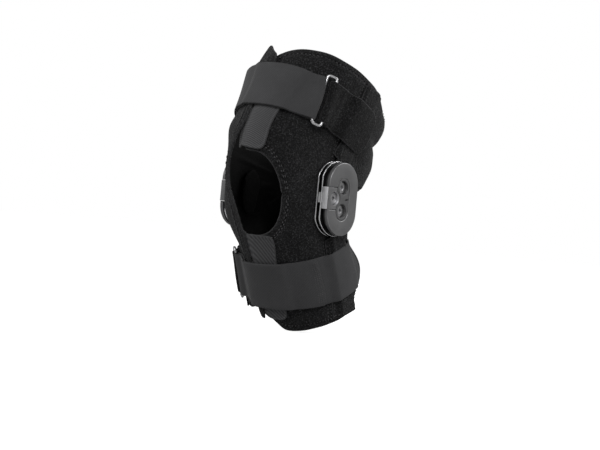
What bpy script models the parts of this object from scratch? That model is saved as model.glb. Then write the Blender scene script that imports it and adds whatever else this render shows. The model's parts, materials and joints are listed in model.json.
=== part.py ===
"""Hinged knee brace: a two-part neoprene wrap, two geared side hinges and two ring straps.

Frame: +X is lateral (the outer side of the leg), -Y is the front and +Z is up along the hinge
housings. The plane x = 0 lies halfway between the two hinges. Everything is laid out round the
knee centre, on that plane and level with the middle of the housings, and the finished brace is
then moved so that the origin is level with the middle of its box in Y and Z.
The brace is modelled with the knee bent by twice REST_TILT, the thigh and calf halves each
tilting back by REST_TILT. Wrap pieces are placed by (s, phi, h): s runs along the limb, phi is
the angle round it from the front (90 degrees is lateral) and h is the height above the inside
of the wrap. Angles are in degrees.
"""

import math

import bmesh
import bpy
import numpy as np
from mathutils import Matrix, Vector

MM = 0.001
GAP = 0.3 * MM
MERGE = 0.01 * MM
TURNED_STEPS = 18
REST_TILT = 20.0
CURVED_LENGTH = 45 * MM
EXTENSION_RANGE = 20.0
FLEXION_RANGE = 30.0
ANGLE_MARGIN = 0.6

# Inside of the wrap: one value in millimetres every LIMB_STEP, from the calf end upwards.
LIMB_STEP = 45 * MM
HALF_WIDTH = (56, 57, 53.3, 53.3, 53.5, 62, 67)
FRONT_DEPTH = (42, 43, 50, 61, 73, 66, 65)
BACK_DEPTH = (59, 62, 55, 60, 84, 83, 66)
SECTION_POWER = 2 / 2.3
SHIN_HOLLOW = 6 * MM
SHIN_HOLLOW_ANGLE = -42.0
SHIN_HOLLOW_SPREAD = 36.0
SHIN_HOLLOW_START = -10 * MM
SHIN_HOLLOW_RAMP = 50 * MM
CENTRE_Y = -4 * MM
LINE_STEP = 0.5 * MM
LINE_STEPS = 400

WRAP_THICKNESS = 4 * MM
WRAP_TOP = 132 * MM
WRAP_BOTTOM = -127 * MM
CLOSURE_ANGLE = -12.0
BACK_SEAM_ANGLE = 125.0
THIGH_BACK_LOW = 8 * MM
CALF_BACK_HIGH = -57 * MM
PANEL_SEAM_ANGLE = 0.15
SIDE_PANEL_REACH = 5 * MM
SIDE_PANEL_GRID = (11, 11)
THIGH_BACK_GRID = (9, 9)
CALF_BACK_GRID = (6, 9)
KNEE_PANEL_REACH = 60 * MM
KNEE_PANEL_FRONT = 10.0
CUTTER_REACH = 300 * MM

PIVOT_HEIGHT = 11.7 * MM
KNEE_PANEL_RADIUS = 34 * MM
TONGUE_HALF_HEIGHT = 11.4 * MM
KNEECAP_CENTRE = (8 * MM, -2 * MM)
KNEECAP_HALF_WIDTH = 31 * MM
KNEECAP_HALF_HEIGHT = 42 * MM
KNEECAP_CUTTER_Y = -80 * MM
KNEECAP_CUTTER_HALF_DEPTH = 60 * MM

# Hinge stack, as distances from the knee's mid plane.
INNER_PLATE = (57.6 * MM, 59.2 * MM)
INNER_WASHER = (59.5 * MM, 59.8 * MM)
UPRIGHT = (60.1 * MM, 62.1 * MM)
OUTER_WASHER = (62.4 * MM, 62.7 * MM)
OUTER_PLATE = (63.0 * MM, 64.6 * MM)
SPACER = (64.9 * MM, 68.6 * MM)
COVER = (68.9 * MM, 73.0 * MM)
BRIDGE = (64.9 * MM, 72.7 * MM)
WELL_FLOOR = 67.2 * MM
WELL_RADIUS = 6.8 * MM

PLATE_HALF_WIDTH = 24.5 * MM
PLATE_CORNER_HEIGHT = 21.5 * MM
PLATE_HALF_HEIGHT = 38 * MM
COVER_HALF_WIDTH = 23.5 * MM
COVER_HALF_HEIGHT = 37 * MM
SPACER_INSET = 3 * MM
LOBE_RADIUS = 10 * MM
NOTCH_HALF_HEIGHT = 11.3 * MM
INSERT_HALF_HEIGHT = 11 * MM
INSERT_FRONT = -24.5 * MM
INSERT_SHOULDER = -10 * MM
INSERT_SCREW_Y = -12.8 * MM
INSERT_NOSE_RADIUS = 7.8 * MM
TONGUE = (-24.2 * MM, -13.2 * MM, 5 * MM)

PIN_RADIUS = 3 * MM
PIN_HOLE_RADIUS = 3.25 * MM
WASHER_RADIUS = 8 * MM
HEAD_RADIUS = 5.9 * MM
HEAD_HEIGHT = 2.8 * MM
SOCKET_RADIUS = 2.4 * MM
SOCKET_DEPTH = 1.8 * MM
HEAD_CHAMFER = 0.8 * MM
INSERT_SHANK_RADIUS = 1.7 * MM
INSERT_SHANK_END = 66.5 * MM
INSERT_BORE_RADIUS = 2 * MM
INSERT_BORE_END = 66 * MM
TONGUE_OVERLAP = 1 * MM
WELL_CUTTER_END = 80 * MM

GEAR_TEETH = 12
TOOTH_DEPTH = 1.0 * MM
TOOTH_CLEARANCE = 0.35 * MM
LUG_RADIUS = 19 * MM
LUG_ANGLES = (182.0, 197.0)
UPRIGHT_HALF_WIDTH = 8.5 * MM
UPPER_UPRIGHT_LENGTH = 107 * MM
LOWER_UPRIGHT_LENGTH = 104 * MM
UPRIGHT_STANDOFF = 1.2 * MM
BAR_STEPS = 14
BAR_FIRST_CUT = 12 * MM
BAR_LAST_CUT = 4 * MM
BEND_START = 34 * MM
BEND_LENGTH = 12 * MM
FOOT_STEP = 5.0

PAD_HALF_WIDTH = 24 * MM
PAD_HALF_HEIGHT = 30 * MM
PAD_HALF_DEPTH = 2.8 * MM
PAD_MIDDLE = -3.4 * MM

POCKET_HALF_WIDTH = 16 * MM
POCKET_CHANNEL = 9.2 * MM
POCKET_CLOTH = 1.0 * MM
POCKET_CLEARANCE = 0.5 * MM
POCKET_START = 47 * MM
POCKET_END = 122 * MM
POCKET_HEM = 2 * MM
POCKET_GRID = (12, 6)

STRAP_WIDTH = 49 * MM
STRAP_CLOTH = 1.5 * MM
THIGH_STRAP_HEIGHT = 84 * MM
THIGH_STRAP_SLOPE = 6.5 * MM
CALF_STRAP_HEIGHT = -80.5 * MM
CALF_STRAP_RISE = 3.5 * MM
THIGH_STRAP_CREST = -30.0
CALF_STRAP_RAMP = (75.0, 40.0)
BAND_STEP = 5
BAND_ROWS = 2
FOLD_ROWS = 7
BASE_FOLD_END = 95.0
BAR_CLEARANCE_ANGLE = 3
TAIL_START_ANGLE = 2.2
TAIL_SETTLE_ANGLE = 16
THIGH_STRAP_ENDS = (-118, -88, 106)
CALF_STRAP_ENDS = (128, 66, -110)
TAIL_GAP = 0.5 * MM
ANCHOR_CLOTH = 2.0 * MM
RING_WIRE = 1.5 * MM
RING_CLEARANCE = 1.8 * MM
RING_HALF_LENGTH = 28.5 * MM
RING_HALF_WIDTH = 5.2 * MM
RING_CORNER = 3 * MM
RING_ANGLES = {1: 54.0, -1: 60.0}
TAB_CLOTH = 2.0 * MM
UPPER_TAB_SPAN = (27 * MM, 127 * MM)
UPPER_TAB_ANGLES = (-11, 20)
LOWER_TAB_SPAN = (-117 * MM, -29 * MM)
LOWER_TAB_ANGLES = (-4, 24)
TAB_GRID = (6, 10)
TAB_RISE_SHAPE = (6.0, 19.0, 8.0)
POCKET_RISE = 6.5 * MM
POCKET_RISE_SHAPE = (95.5, 11.0, 9.0)


def spline_value(values, s):
    """Catmull-Rom value, in metres, of a list of millimetre sizes spaced by LIMB_STEP."""
    first = -LIMB_STEP * (len(values) - 1) / 2
    place = min(max((s - first) / LIMB_STEP, 0.0), len(values) - 1.000001)
    index = int(place)
    t = place - index
    p0 = values[max(index - 1, 0)]
    p1 = values[index]
    p2 = values[index + 1]
    p3 = values[min(index + 2, len(values) - 1)]
    slope1 = (p2 - p0) / 2
    slope2 = (p3 - p1) / 2
    low = (2 * t**3 - 3 * t**2 + 1) * p1 + (t**3 - 2 * t**2 + t) * slope1
    high = (3 * t**2 - 2 * t**3) * p2 + (t**3 - t**2) * slope2
    return (low + high) * MM


def tilt_at(s):
    """Backward lean of the limb's centre line: the top goes back above, the foot end below."""
    share = np.clip(s / CURVED_LENGTH, -1, 1)
    return math.radians(REST_TILT) * np.sin(share * math.pi / 2)


def centre_line():
    """Centre line of the limb, integrated from its tilt in both directions from the knee."""
    stations = np.arange(-LINE_STEPS, LINE_STEPS + 1) * LINE_STEP
    tilts = tilt_at(stations)
    sideways = np.cumsum((np.sin(tilts[1:]) + np.sin(tilts[:-1])) / 2 * LINE_STEP)
    upward = np.cumsum((np.cos(tilts[1:]) + np.cos(tilts[:-1])) / 2 * LINE_STEP)
    y = np.concatenate([[0.0], sideways])
    z = np.concatenate([[0.0], upward])
    return stations, y - y[LINE_STEPS] + CENTRE_Y, z - z[LINE_STEPS]


STATIONS, LINE_Y, LINE_Z = centre_line()


def shin_hollow(s, phi):
    """How far the calf's inner front is flattened, as over the flat face of the shin bone."""
    share = min(abs(phi - SHIN_HOLLOW_ANGLE) / SHIN_HOLLOW_SPREAD, 1.0)
    ramp = smooth_step((SHIN_HOLLOW_START - s) / SHIN_HOLLOW_RAMP)
    return SHIN_HOLLOW * math.cos(share * math.pi / 2) ** 2 * ramp


def limb_point(s, phi, height):
    """World point at s along the limb, phi degrees from the front, height above the inside."""
    angle = math.radians(phi)
    height -= shin_hollow(s, phi)
    depths = FRONT_DEPTH if math.cos(angle) > 0 else BACK_DEPTH
    across = spline_value(HALF_WIDTH, s) + height
    forward = spline_value(depths, s) + height
    x = across * math.copysign(abs(math.sin(angle)) ** SECTION_POWER, math.sin(angle))
    f = forward * math.copysign(abs(math.cos(angle)) ** SECTION_POWER, math.cos(angle))
    tilt = float(tilt_at(s))
    y = float(np.interp(s, STATIONS, LINE_Y)) - f * math.cos(tilt)
    z = float(np.interp(s, STATIONS, LINE_Z)) + f * math.sin(tilt)
    return Vector((x, y, z))


def degrees_per_metre(s, phi, height):
    """How many degrees round the limb one metre of cloth covers at a place."""
    step = 0.5
    length = (limb_point(s, phi + step, height) - limb_point(s, phi - step, height)).length
    return 2 * step / length


def smooth_step(value):
    share = min(max(value, 0.0), 1.0)
    return share * share * (3 - 2 * share)


def new_collection(name):
    collection = bpy.data.collections.new(name)
    bpy.context.scene.collection.children.link(collection)
    return collection


def clear_scene():
    for item in list(bpy.data.objects):
        bpy.data.objects.remove(item, do_unlink=True)


clear_scene()
PARTS = new_collection("knee_brace")
CUTTERS = new_collection("cutters")


def make_material(name, color, roughness, metallic=0.0):
    material = bpy.data.materials.new(name)
    material.use_nodes = True
    shader = material.node_tree.nodes["Principled BSDF"]
    shader.inputs["Base Color"].default_value = (*color, 1.0)
    shader.inputs["Roughness"].default_value = roughness
    shader.inputs["Metallic"].default_value = metallic
    return material


WRAP_CLOTH = make_material("wrap_cloth", (0.018, 0.018, 0.019), 0.95)
POCKET_TAPE = make_material("pocket_tape", (0.022, 0.022, 0.023), 0.9)
STRAP_WEBBING = make_material("strap_webbing", (0.065, 0.065, 0.067), 0.85)
TAB_TWILL = make_material("tab_twill", (0.075, 0.075, 0.078), 0.85)
ANCHOR_LOOP = make_material("anchor_loop", (0.02, 0.02, 0.021), 0.95)
PAD_FOAM = make_material("pad_foam", (0.02, 0.02, 0.02), 0.9)
PLATE_STEEL = make_material("plate_steel", (0.32, 0.32, 0.33), 0.35, 1.0)
UPRIGHT_ALLOY = make_material("upright_alloy", (0.45, 0.45, 0.46), 0.4, 1.0)
COVER_SATIN = make_material("cover_satin", (0.13, 0.13, 0.135), 0.45, 0.2)
SPACER_PLASTIC = make_material("spacer_plastic", (0.015, 0.015, 0.015), 0.5)
BRIDGE_PLASTIC = make_material("bridge_plastic", (0.08, 0.08, 0.083), 0.5, 0.1)
INSERT_METAL = make_material("insert_metal", (0.3, 0.3, 0.31), 0.35, 0.9)
SCREW_STEEL = make_material("screw_steel", (0.6, 0.6, 0.61), 0.2, 1.0)
WASHER_NYLON = make_material("washer_nylon", (0.7, 0.7, 0.68), 0.5)
RING_CHROME = make_material("ring_chrome", (0.75, 0.75, 0.76), 0.12, 1.0)


def add_object(name, mesh, material=None):
    """A part, or with no material a cutter, which is neither rendered nor built."""
    item = bpy.data.objects.new(name, mesh)
    if material is None:
        CUTTERS.objects.link(item)
        item.hide_render = True
        item.display_type = "WIRE"
    else:
        PARTS.objects.link(item)
        mesh.materials.clear()
        mesh.materials.append(material)
    return item


def arc(centre, radius, start, end, step=12.0):
    """Points on an arc in the (y, z) plane, angles in degrees from +Y towards +Z."""
    count = max(2, int(abs(end - start) / step) + 1)
    angles = np.radians(np.linspace(start, end, count))
    return [(centre[0] + radius * math.cos(a), centre[1] + radius * math.sin(a)) for a in angles]


def circle(centre, radius, step=24.0):
    return arc(centre, radius, 0, 360, step)[:-1]


def side_frame(side, distance):
    """Matrix that stands a flat outline in the (y, z) plane at a distance from the mid plane."""
    columns = Matrix(((0, 0, 1), (1, 0, 0), (0, 1, 0))).to_4x4()
    return Matrix.Translation((side * distance, 0, 0)) @ columns


def flat_mesh(name, loops, layer, side):
    """Mesh of a filled outline with holes, between the two distances of a layer."""
    curve = bpy.data.curves.new(name, "CURVE")
    curve.dimensions = "2D"
    curve.fill_mode = "BOTH"
    curve.extrude = (layer[1] - layer[0]) / 2
    for loop in loops:
        spline = curve.splines.new("POLY")
        spline.points.add(len(loop) - 1)
        for point, (y, z) in zip(spline.points, loop):
            point.co = (y, z, 0, 1)
        spline.use_cyclic_u = True
    outline = bpy.data.objects.new(name + "_outline", curve)
    bpy.context.scene.collection.objects.link(outline)
    bpy.context.view_layer.update()
    graph = bpy.context.evaluated_depsgraph_get()
    mesh = bpy.data.meshes.new_from_object(outline.evaluated_get(graph))
    bpy.data.objects.remove(outline, do_unlink=True)
    solid = bmesh.new()
    solid.from_mesh(mesh)
    bmesh.ops.remove_doubles(solid, verts=solid.verts, dist=MERGE)
    bmesh.ops.transform(solid, matrix=side_frame(side, sum(layer) / 2), verts=solid.verts)
    solid.normal_update()
    bmesh.ops.recalc_face_normals(solid, faces=solid.faces)
    solid.to_mesh(mesh)
    solid.free()
    return mesh


def flat_piece(name, loops, layer, side, material=None):
    return add_object(name, flat_mesh(name, loops, layer, side), material)


def cut(item, cutter, operation="DIFFERENCE"):
    boolean = item.modifiers.new(cutter.name, "BOOLEAN")
    boolean.operation = operation
    boolean.solver = "EXACT"
    boolean.object = cutter
    return item


def surface_piece(name, columns, rows, place, thickness, material, offset=1.0):
    """Closed cloth: a grid mapped by place(u, v), u and v from 0 to 1, given a thickness."""
    mesh = bpy.data.meshes.new(name)
    cloth = bmesh.new()
    bmesh.ops.create_grid(cloth, x_segments=columns, y_segments=rows, size=1.0)
    for vertex in cloth.verts:
        vertex.co = place((vertex.co.x + 1) / 2, (vertex.co.y + 1) / 2)
    cloth.to_mesh(mesh)
    cloth.free()
    item = add_object(name, mesh, material)
    solid = item.modifiers.new("thickness", "SOLIDIFY")
    solid.thickness = thickness
    solid.offset = offset
    return item


# ---- wrap -------------------------------------------------------------------------------


def wrap_patch(name, s_range, phi_range, grid):
    def place(u, v):
        s = s_range[0] + (s_range[1] - s_range[0]) * v
        phi = phi_range[0] + (phi_range[1] - phi_range[0]) * u
        return limb_point(s, phi, 0.0)

    rows, columns = grid
    return surface_piece(name, columns, rows, place, WRAP_THICKNESS, WRAP_CLOTH)


def swept_away_outline(half):
    """Side view of what a thigh (half=1) or calf (half=-1) panel leaves free for the hinge."""
    far = CUTTER_REACH
    radius = KNEE_PANEL_RADIUS + GAP
    front = 180 - EXTENSION_RANGE - ANGLE_MARGIN
    back = FLEXION_RANGE + ANGLE_MARGIN
    rim = arc((0, PIVOT_HEIGHT), radius, front, back)
    front_end = (-far, PIVOT_HEIGHT + far * math.tan(math.radians(180 - front)))
    back_end = (far, PIVOT_HEIGHT + far * math.tan(math.radians(back)))
    points = [(-far, -far), front_end, *rim, back_end, (far, -far)]
    return [(y, half * z) for y, z in points]


def knee_panel_outline():
    """Side view of a knee panel: a stadium round the pivots with a tongue to the kneecap."""
    top = arc((0, PIVOT_HEIGHT), KNEE_PANEL_RADIUS, 180, 0)
    low = arc((0, -PIVOT_HEIGHT), KNEE_PANEL_RADIUS, 0, -180)
    tip = -CUTTER_REACH
    tongue = [(tip, -TONGUE_HALF_HEIGHT), (tip, TONGUE_HALF_HEIGHT)]
    return [*top, *low, *tongue]


def kneecap_cutter():
    bpy.ops.mesh.primitive_cylinder_add(vertices=40, radius=1.0, depth=2.0)
    cutter = bpy.context.object
    cutter.name = "kneecap_opening_cutter"
    for collection in list(cutter.users_collection):
        collection.objects.unlink(cutter)
    CUTTERS.objects.link(cutter)
    size = Matrix.Diagonal((KNEECAP_HALF_WIDTH, KNEECAP_HALF_HEIGHT, KNEECAP_CUTTER_HALF_DEPTH, 1))
    turn = Matrix.Rotation(math.radians(90), 4, "X")
    place = Matrix.Translation((KNEECAP_CENTRE[0], KNEECAP_CUTTER_Y, KNEECAP_CENTRE[1]))
    cutter.data.transform(place @ turn @ size)
    cutter.hide_render = True
    cutter.display_type = "WIRE"
    return cutter


def side_angles(side, start, end):
    """A front-to-back range of angles on the lateral (1) or medial (-1) side, low value first."""
    return (start, end) if side > 0 else (-end, -start)


def make_wrap():
    kneecap = kneecap_cutter()
    across = (-CUTTER_REACH, CUTTER_REACH)
    thigh_cutter = flat_piece("thigh_sweep_cutter", [swept_away_outline(1)], across, 1)
    calf_cutter = flat_piece("calf_sweep_cutter", [swept_away_outline(-1)], across, 1)
    knee_outline = flat_piece("knee_panel_cutter", [knee_panel_outline()], across, 1)
    seam = PANEL_SEAM_ANGLE
    for side, name in ((1, "lateral"), (-1, "medial")):
        front = CLOSURE_ANGLE * side + seam
        angles = side_angles(side, front, BACK_SEAM_ANGLE - seam)
        thigh = wrap_patch(f"thigh_{name}_panel", (SIDE_PANEL_REACH, WRAP_TOP), angles, SIDE_PANEL_GRID)
        cut(thigh, thigh_cutter)
        calf = wrap_patch(f"calf_{name}_panel", (WRAP_BOTTOM, -SIDE_PANEL_REACH), angles, SIDE_PANEL_GRID)
        cut(calf, calf_cutter)
        knee_angles = side_angles(side, KNEE_PANEL_FRONT, BACK_SEAM_ANGLE - seam)
        knee_span = (-KNEE_PANEL_REACH, KNEE_PANEL_REACH)
        knee = wrap_patch(f"knee_{name}_panel", knee_span, knee_angles, SIDE_PANEL_GRID)
        cut(knee, knee_outline, "INTERSECT")
        cut(knee, kneecap)
    back = (BACK_SEAM_ANGLE + seam, 360 - BACK_SEAM_ANGLE - seam)
    wrap_patch("thigh_back_panel", (THIGH_BACK_LOW, WRAP_TOP), back, THIGH_BACK_GRID)
    wrap_patch("calf_back_panel", (WRAP_BOTTOM, CALF_BACK_HIGH), back, CALF_BACK_GRID)


# ---- hinges -----------------------------------------------------------------------------


def plate_outline(half_width, corner_height, half_height):
    """Straight sides with shallow arcs over both ends."""
    rise = half_height - corner_height
    radius = (half_width**2 + rise**2) / (2 * rise)
    spread = math.degrees(math.asin(half_width / radius))
    centre = half_height - radius
    top = arc((0, centre), radius, 90 - spread, 90 + spread)
    return [*top, *[(-y, -z) for y, z in top]]


def notched_outline(half_width, half_height):
    """A stadium with a keyhole that opens at its front edge: the room for bridge and insert."""
    centre = half_height - half_width
    body = [
        *arc((0, -centre), half_width, -180, 0),
        *arc((0, centre), half_width, 0, 180),
    ]
    notch = [
        (-half_width, NOTCH_HALF_HEIGHT),
        *arc((0, PIVOT_HEIGHT), LOBE_RADIUS, 180, 0, 12),
        *arc((0, -PIVOT_HEIGHT), LOBE_RADIUS, 0, -180, 12),
        (-half_width, -NOTCH_HALF_HEIGHT),
    ]
    return [*body, *notch]


def pin_holes(radius):
    return [circle((0, PIVOT_HEIGHT), radius), circle((0, -PIVOT_HEIGHT), radius)]


def outer_plate_outline():
    """The plate with a front slot that the stop's tongue slides through."""
    whole = plate_outline(PLATE_HALF_WIDTH, PLATE_CORNER_HEIGHT, PLATE_HALF_HEIGHT)
    half = len(whole) // 2
    reach = TONGUE[1] + GAP
    height = TONGUE[2] + GAP
    slot = [
        (-PLATE_HALF_WIDTH, height),
        (reach, height),
        (reach, -height),
        (-PLATE_HALF_WIDTH, -height),
    ]
    return [*whole[:half], *slot, *whole[half:]]


def bridge_outline():
    radius = LOBE_RADIUS - GAP
    bite = INSERT_NOSE_RADIUS + GAP
    reach = math.degrees(math.acos((-radius - INSERT_SCREW_Y) / bite))
    return [
        *arc((0, PIVOT_HEIGHT), radius, 0, 180, 12),
        *arc((INSERT_SCREW_Y, 0), bite, reach, -reach, 12),
        *arc((0, -PIVOT_HEIGHT), radius, 180, 360, 12),
    ]


def insert_outline():
    reach = math.degrees(math.acos((INSERT_SHOULDER - INSERT_SCREW_Y) / INSERT_NOSE_RADIUS))
    return [
        (INSERT_FRONT, -INSERT_HALF_HEIGHT),
        (INSERT_SHOULDER, -INSERT_HALF_HEIGHT),
        *arc((INSERT_SCREW_Y, 0), INSERT_NOSE_RADIUS, -reach, reach, 12),
        (INSERT_SHOULDER, INSERT_HALF_HEIGHT),
        (INSERT_FRONT, INSERT_HALF_HEIGHT),
    ]


def upright_outline(length, phase):
    """An upright standing up from its pivot at (0, 0): a bar with a geared and lugged foot."""
    width = UPRIGHT_HALF_WIDTH
    root = PIVOT_HEIGHT - TOOTH_CLEARANCE
    edge = math.degrees(math.acos(width / root))
    contact = 270 + REST_TILT
    foot = []
    for angle in np.arange(180 - edge, 360 + edge, FOOT_STEP):
        tooth = TOOTH_DEPTH * math.cos(GEAR_TEETH * math.radians(angle - contact) + phase)
        radius = root + tooth
        if LUG_ANGLES[0] <= angle <= LUG_ANGLES[1]:
            radius = LUG_RADIUS
        foot.append((radius * math.cos(math.radians(angle)), radius * math.sin(math.radians(angle))))
    tip = arc((0, length - width), width, 0, 180, 15)
    return [*foot, *tip]


def upright_lift(z):
    """How far the bar bends out to lie on the wrap above or below its hinge."""
    s = z / math.cos(math.radians(REST_TILT / 2))
    rest = spline_value(HALF_WIDTH, s) + WRAP_THICKNESS + UPRIGHT_STANDOFF
    share = smooth_step((abs(z) - BEND_START) / BEND_LENGTH)
    return max(0.0, rest - UPRIGHT[0]) * share


def make_upright(name, side, half, length):
    """half is 1 for the thigh upright and -1 for the calf upright, its mirror image in z."""
    phase = 0.0 if half > 0 else math.pi
    loops = [upright_outline(length, phase), circle((0, 0), PIN_HOLE_RADIUS)]
    mesh = flat_mesh(name, loops, UPRIGHT, side)
    bar = bmesh.new()
    bar.from_mesh(mesh)
    up = (0, 0, 1)
    for step in range(1, BAR_STEPS):
        height = BAR_FIRST_CUT + (length - BAR_FIRST_CUT - BAR_LAST_CUT) * step / BAR_STEPS
        geometry = [*bar.verts, *bar.edges, *bar.faces]
        level = (0, 0, height)
        bmesh.ops.bisect_plane(bar, geom=geometry, dist=MERGE, plane_co=level, plane_no=up)
    turn = Matrix.Rotation(math.radians(-REST_TILT), 4, "X")
    place = Matrix.Translation((0, 0, PIVOT_HEIGHT)) @ turn
    flip = Matrix.Diagonal((1, 1, half, 1))
    bmesh.ops.transform(bar, matrix=flip @ place, verts=bar.verts)
    for vertex in bar.verts:
        vertex.co.x += side * upright_lift(vertex.co.z)
    bar.normal_update()
    bmesh.ops.recalc_face_normals(bar, faces=bar.faces)
    bar.to_mesh(mesh)
    bar.free()
    return add_object(name, mesh, UPRIGHT_ALLOY)


def turned_piece(name, profile, side, y, z, material):
    """A round piece from (radius, distance) points, from its outer end towards the mid plane."""
    mesh = bpy.data.meshes.new(name)
    turned = bmesh.new()
    points = [turned.verts.new((radius, 0, height)) for radius, height in profile]
    for start, end in zip(points, points[1:]):
        turned.edges.new((start, end))
    turned.to_mesh(mesh)
    turned.free()
    item = add_object(name, mesh, material)
    screw = item.modifiers.new("turning", "SCREW")
    screw.steps = TURNED_STEPS
    screw.render_steps = TURNED_STEPS
    screw.use_merge_vertices = True
    screw.merge_threshold = 5 * MERGE
    item.rotation_euler = (0, side * math.pi / 2, 0)
    item.location = (0, y, z)
    return item


def hex_cutter(name, side, y, z, top, depth):
    outline = arc((y, z), SOCKET_RADIUS, 0, 360, 60)[:-1]
    return flat_piece(name, [outline], (top - depth, top + 5 * MM), side)


def make_screw(name, side, y, z, shank_radius, shank_end):
    """A socket-headed screw whose head sits on the floor of a well."""
    seat = WELL_FLOOR + GAP
    top = seat + HEAD_HEIGHT
    profile = [
        (0, top),
        (HEAD_RADIUS - HEAD_CHAMFER, top),
        (HEAD_RADIUS, top - HEAD_CHAMFER),
        (HEAD_RADIUS, seat),
        (shank_radius, seat),
        (shank_radius, shank_end),
        (0, shank_end),
    ]
    screw = turned_piece(name, profile, side, y, z, SCREW_STEEL)
    return cut(screw, hex_cutter(name + "_socket_cutter", side, y, z, top, SOCKET_DEPTH))


def make_stop_insert(name, side):
    """Cover-level block with a screw well, and the tongue that blocks the uprights' lugs."""
    insert = flat_piece(name, [insert_outline()], BRIDGE, side, INSERT_METAL)
    front, back, height = TONGUE
    tongue_loop = [(front, -height), (back, -height), (back, height), (front, height)]
    tongue_layer = (UPRIGHT[0], BRIDGE[0] + TONGUE_OVERLAP)
    cut(insert, flat_piece(name + "_tongue_cutter", [tongue_loop], tongue_layer, side), "UNION")
    well = circle((INSERT_SCREW_Y, 0), WELL_RADIUS, 18)
    cut(insert, flat_piece(name + "_well_cutter", [well], (WELL_FLOOR, WELL_CUTTER_END), side))
    bore = circle((INSERT_SCREW_Y, 0), INSERT_BORE_RADIUS)
    return cut(insert, flat_piece(name + "_bore_cutter", [bore], (INSERT_BORE_END, WELL_CUTTER_END), side))


def make_bridge(name, side):
    bridge = flat_piece(name, [bridge_outline(), *pin_holes(PIN_HOLE_RADIUS)], BRIDGE, side, BRIDGE_PLASTIC)
    for place, z in (("upper", PIVOT_HEIGHT), ("lower", -PIVOT_HEIGHT)):
        well = circle((0, z), WELL_RADIUS, 18)
        cut(bridge, flat_piece(f"{name}_{place}_well_cutter", [well], (WELL_FLOOR, WELL_CUTTER_END), side))
    return bridge


def make_hinge(side, name):
    plate = plate_outline(PLATE_HALF_WIDTH, PLATE_CORNER_HEIGHT, PLATE_HALF_HEIGHT)
    flat_piece(f"{name}_inner_plate", [plate, *pin_holes(PIN_HOLE_RADIUS)], INNER_PLATE, side, PLATE_STEEL)
    outer = [outer_plate_outline(), *pin_holes(PIN_HOLE_RADIUS)]
    flat_piece(f"{name}_outer_plate", outer, OUTER_PLATE, side, PLATE_STEEL)
    spacer = notched_outline(COVER_HALF_WIDTH - SPACER_INSET, COVER_HALF_HEIGHT - SPACER_INSET)
    flat_piece(f"{name}_hinge_spacer", [spacer], SPACER, side, SPACER_PLASTIC)
    cover = notched_outline(COVER_HALF_WIDTH, COVER_HALF_HEIGHT)
    flat_piece(f"{name}_hinge_cover", [cover], COVER, side, COVER_SATIN)
    make_bridge(f"{name}_pivot_bridge", side)
    make_stop_insert(f"{name}_stop_insert", side)
    make_screw(f"{name}_insert_screw", side, INSERT_SCREW_Y, 0, INSERT_SHANK_RADIUS, INSERT_SHANK_END)
    for place, z in (("upper", PIVOT_HEIGHT), ("lower", -PIVOT_HEIGHT)):
        make_screw(f"{name}_{place}_pivot_screw", side, 0, z, PIN_RADIUS, INNER_PLATE[0] + GAP)
        for layer_name, layer in (("inner", INNER_WASHER), ("outer", OUTER_WASHER)):
            rings = [circle((0, z), WASHER_RADIUS), circle((0, z), PIN_HOLE_RADIUS)]
            flat_piece(f"{name}_{place}_{layer_name}_washer", rings, layer, side, WASHER_NYLON)
    make_upright(f"{name}_thigh_upright", side, 1, UPPER_UPRIGHT_LENGTH)
    make_upright(f"{name}_calf_upright", side, -1, LOWER_UPRIGHT_LENGTH)


def make_condyle_pad(name, side):
    """A flattened pad inside the wrap under the hinge."""
    mesh = bpy.data.meshes.new(name)
    pad = bmesh.new()
    bmesh.ops.create_uvsphere(pad, u_segments=16, v_segments=8, radius=1.0)
    spread = degrees_per_metre(0, 90, 0)
    for vertex in pad.verts:
        phi = side * (90 + vertex.co.x * PAD_HALF_WIDTH * spread)
        height = PAD_MIDDLE + vertex.co.z * PAD_HALF_DEPTH
        vertex.co = limb_point(vertex.co.y * PAD_HALF_HEIGHT, phi, height)
    pad.normal_update()
    bmesh.ops.recalc_face_normals(pad, faces=pad.faces)
    pad.to_mesh(mesh)
    pad.free()
    return add_object(name, mesh, PAD_FOAM)


# ---- pockets, tabs and straps -----------------------------------------------------------


def make_pocket(name, side, half):
    """A raised cloth tunnel over an upright, sewn to the wrap along both edges."""

    def place(u, v):
        along = POCKET_START + (POCKET_END - POCKET_START) * v
        if side * half < 0:
            u = 1 - u
        across = (2 * u - 1) * POCKET_HALF_WIDTH
        turn = math.radians(REST_TILT)
        z = PIVOT_HEIGHT + (along - PIVOT_HEIGHT) * math.cos(turn) - across * math.sin(turn)
        y = (along - PIVOT_HEIGHT) * math.sin(turn) + across * math.cos(turn)
        edge = (abs(across) - POCKET_CHANNEL) / (POCKET_HALF_WIDTH - POCKET_CHANNEL - POCKET_HEM)
        s, phi = limb_place(y, z * half, 1)
        bar_top = UPRIGHT[1] + upright_lift(z * half) + POCKET_CLEARANCE
        shape = abs(math.sin(math.radians(phi))) ** SECTION_POWER
        raised = bar_top / shape - spline_value(HALF_WIDTH, s)
        flat = WRAP_THICKNESS + GAP
        return limb_point(s, phi * side, flat + (raised - flat) * (1 - smooth_step(edge)))

    return surface_piece(name, *POCKET_GRID, place, POCKET_CLOTH, POCKET_TAPE)


def limb_place(y, z, side):
    """The (s, phi) on one side of the wrap's outside whose side view lies at (y, z)."""
    s = z
    phi = 90.0 * side
    for _ in range(12):
        point = limb_point(s, phi, WRAP_THICKNESS)
        s += (z - point.z) * 0.9
        depth = spline_value(FRONT_DEPTH if y < point.y else BACK_DEPTH, s)
        phi += side * math.degrees((y - point.y) / depth) * 0.8
    return s, phi


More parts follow.
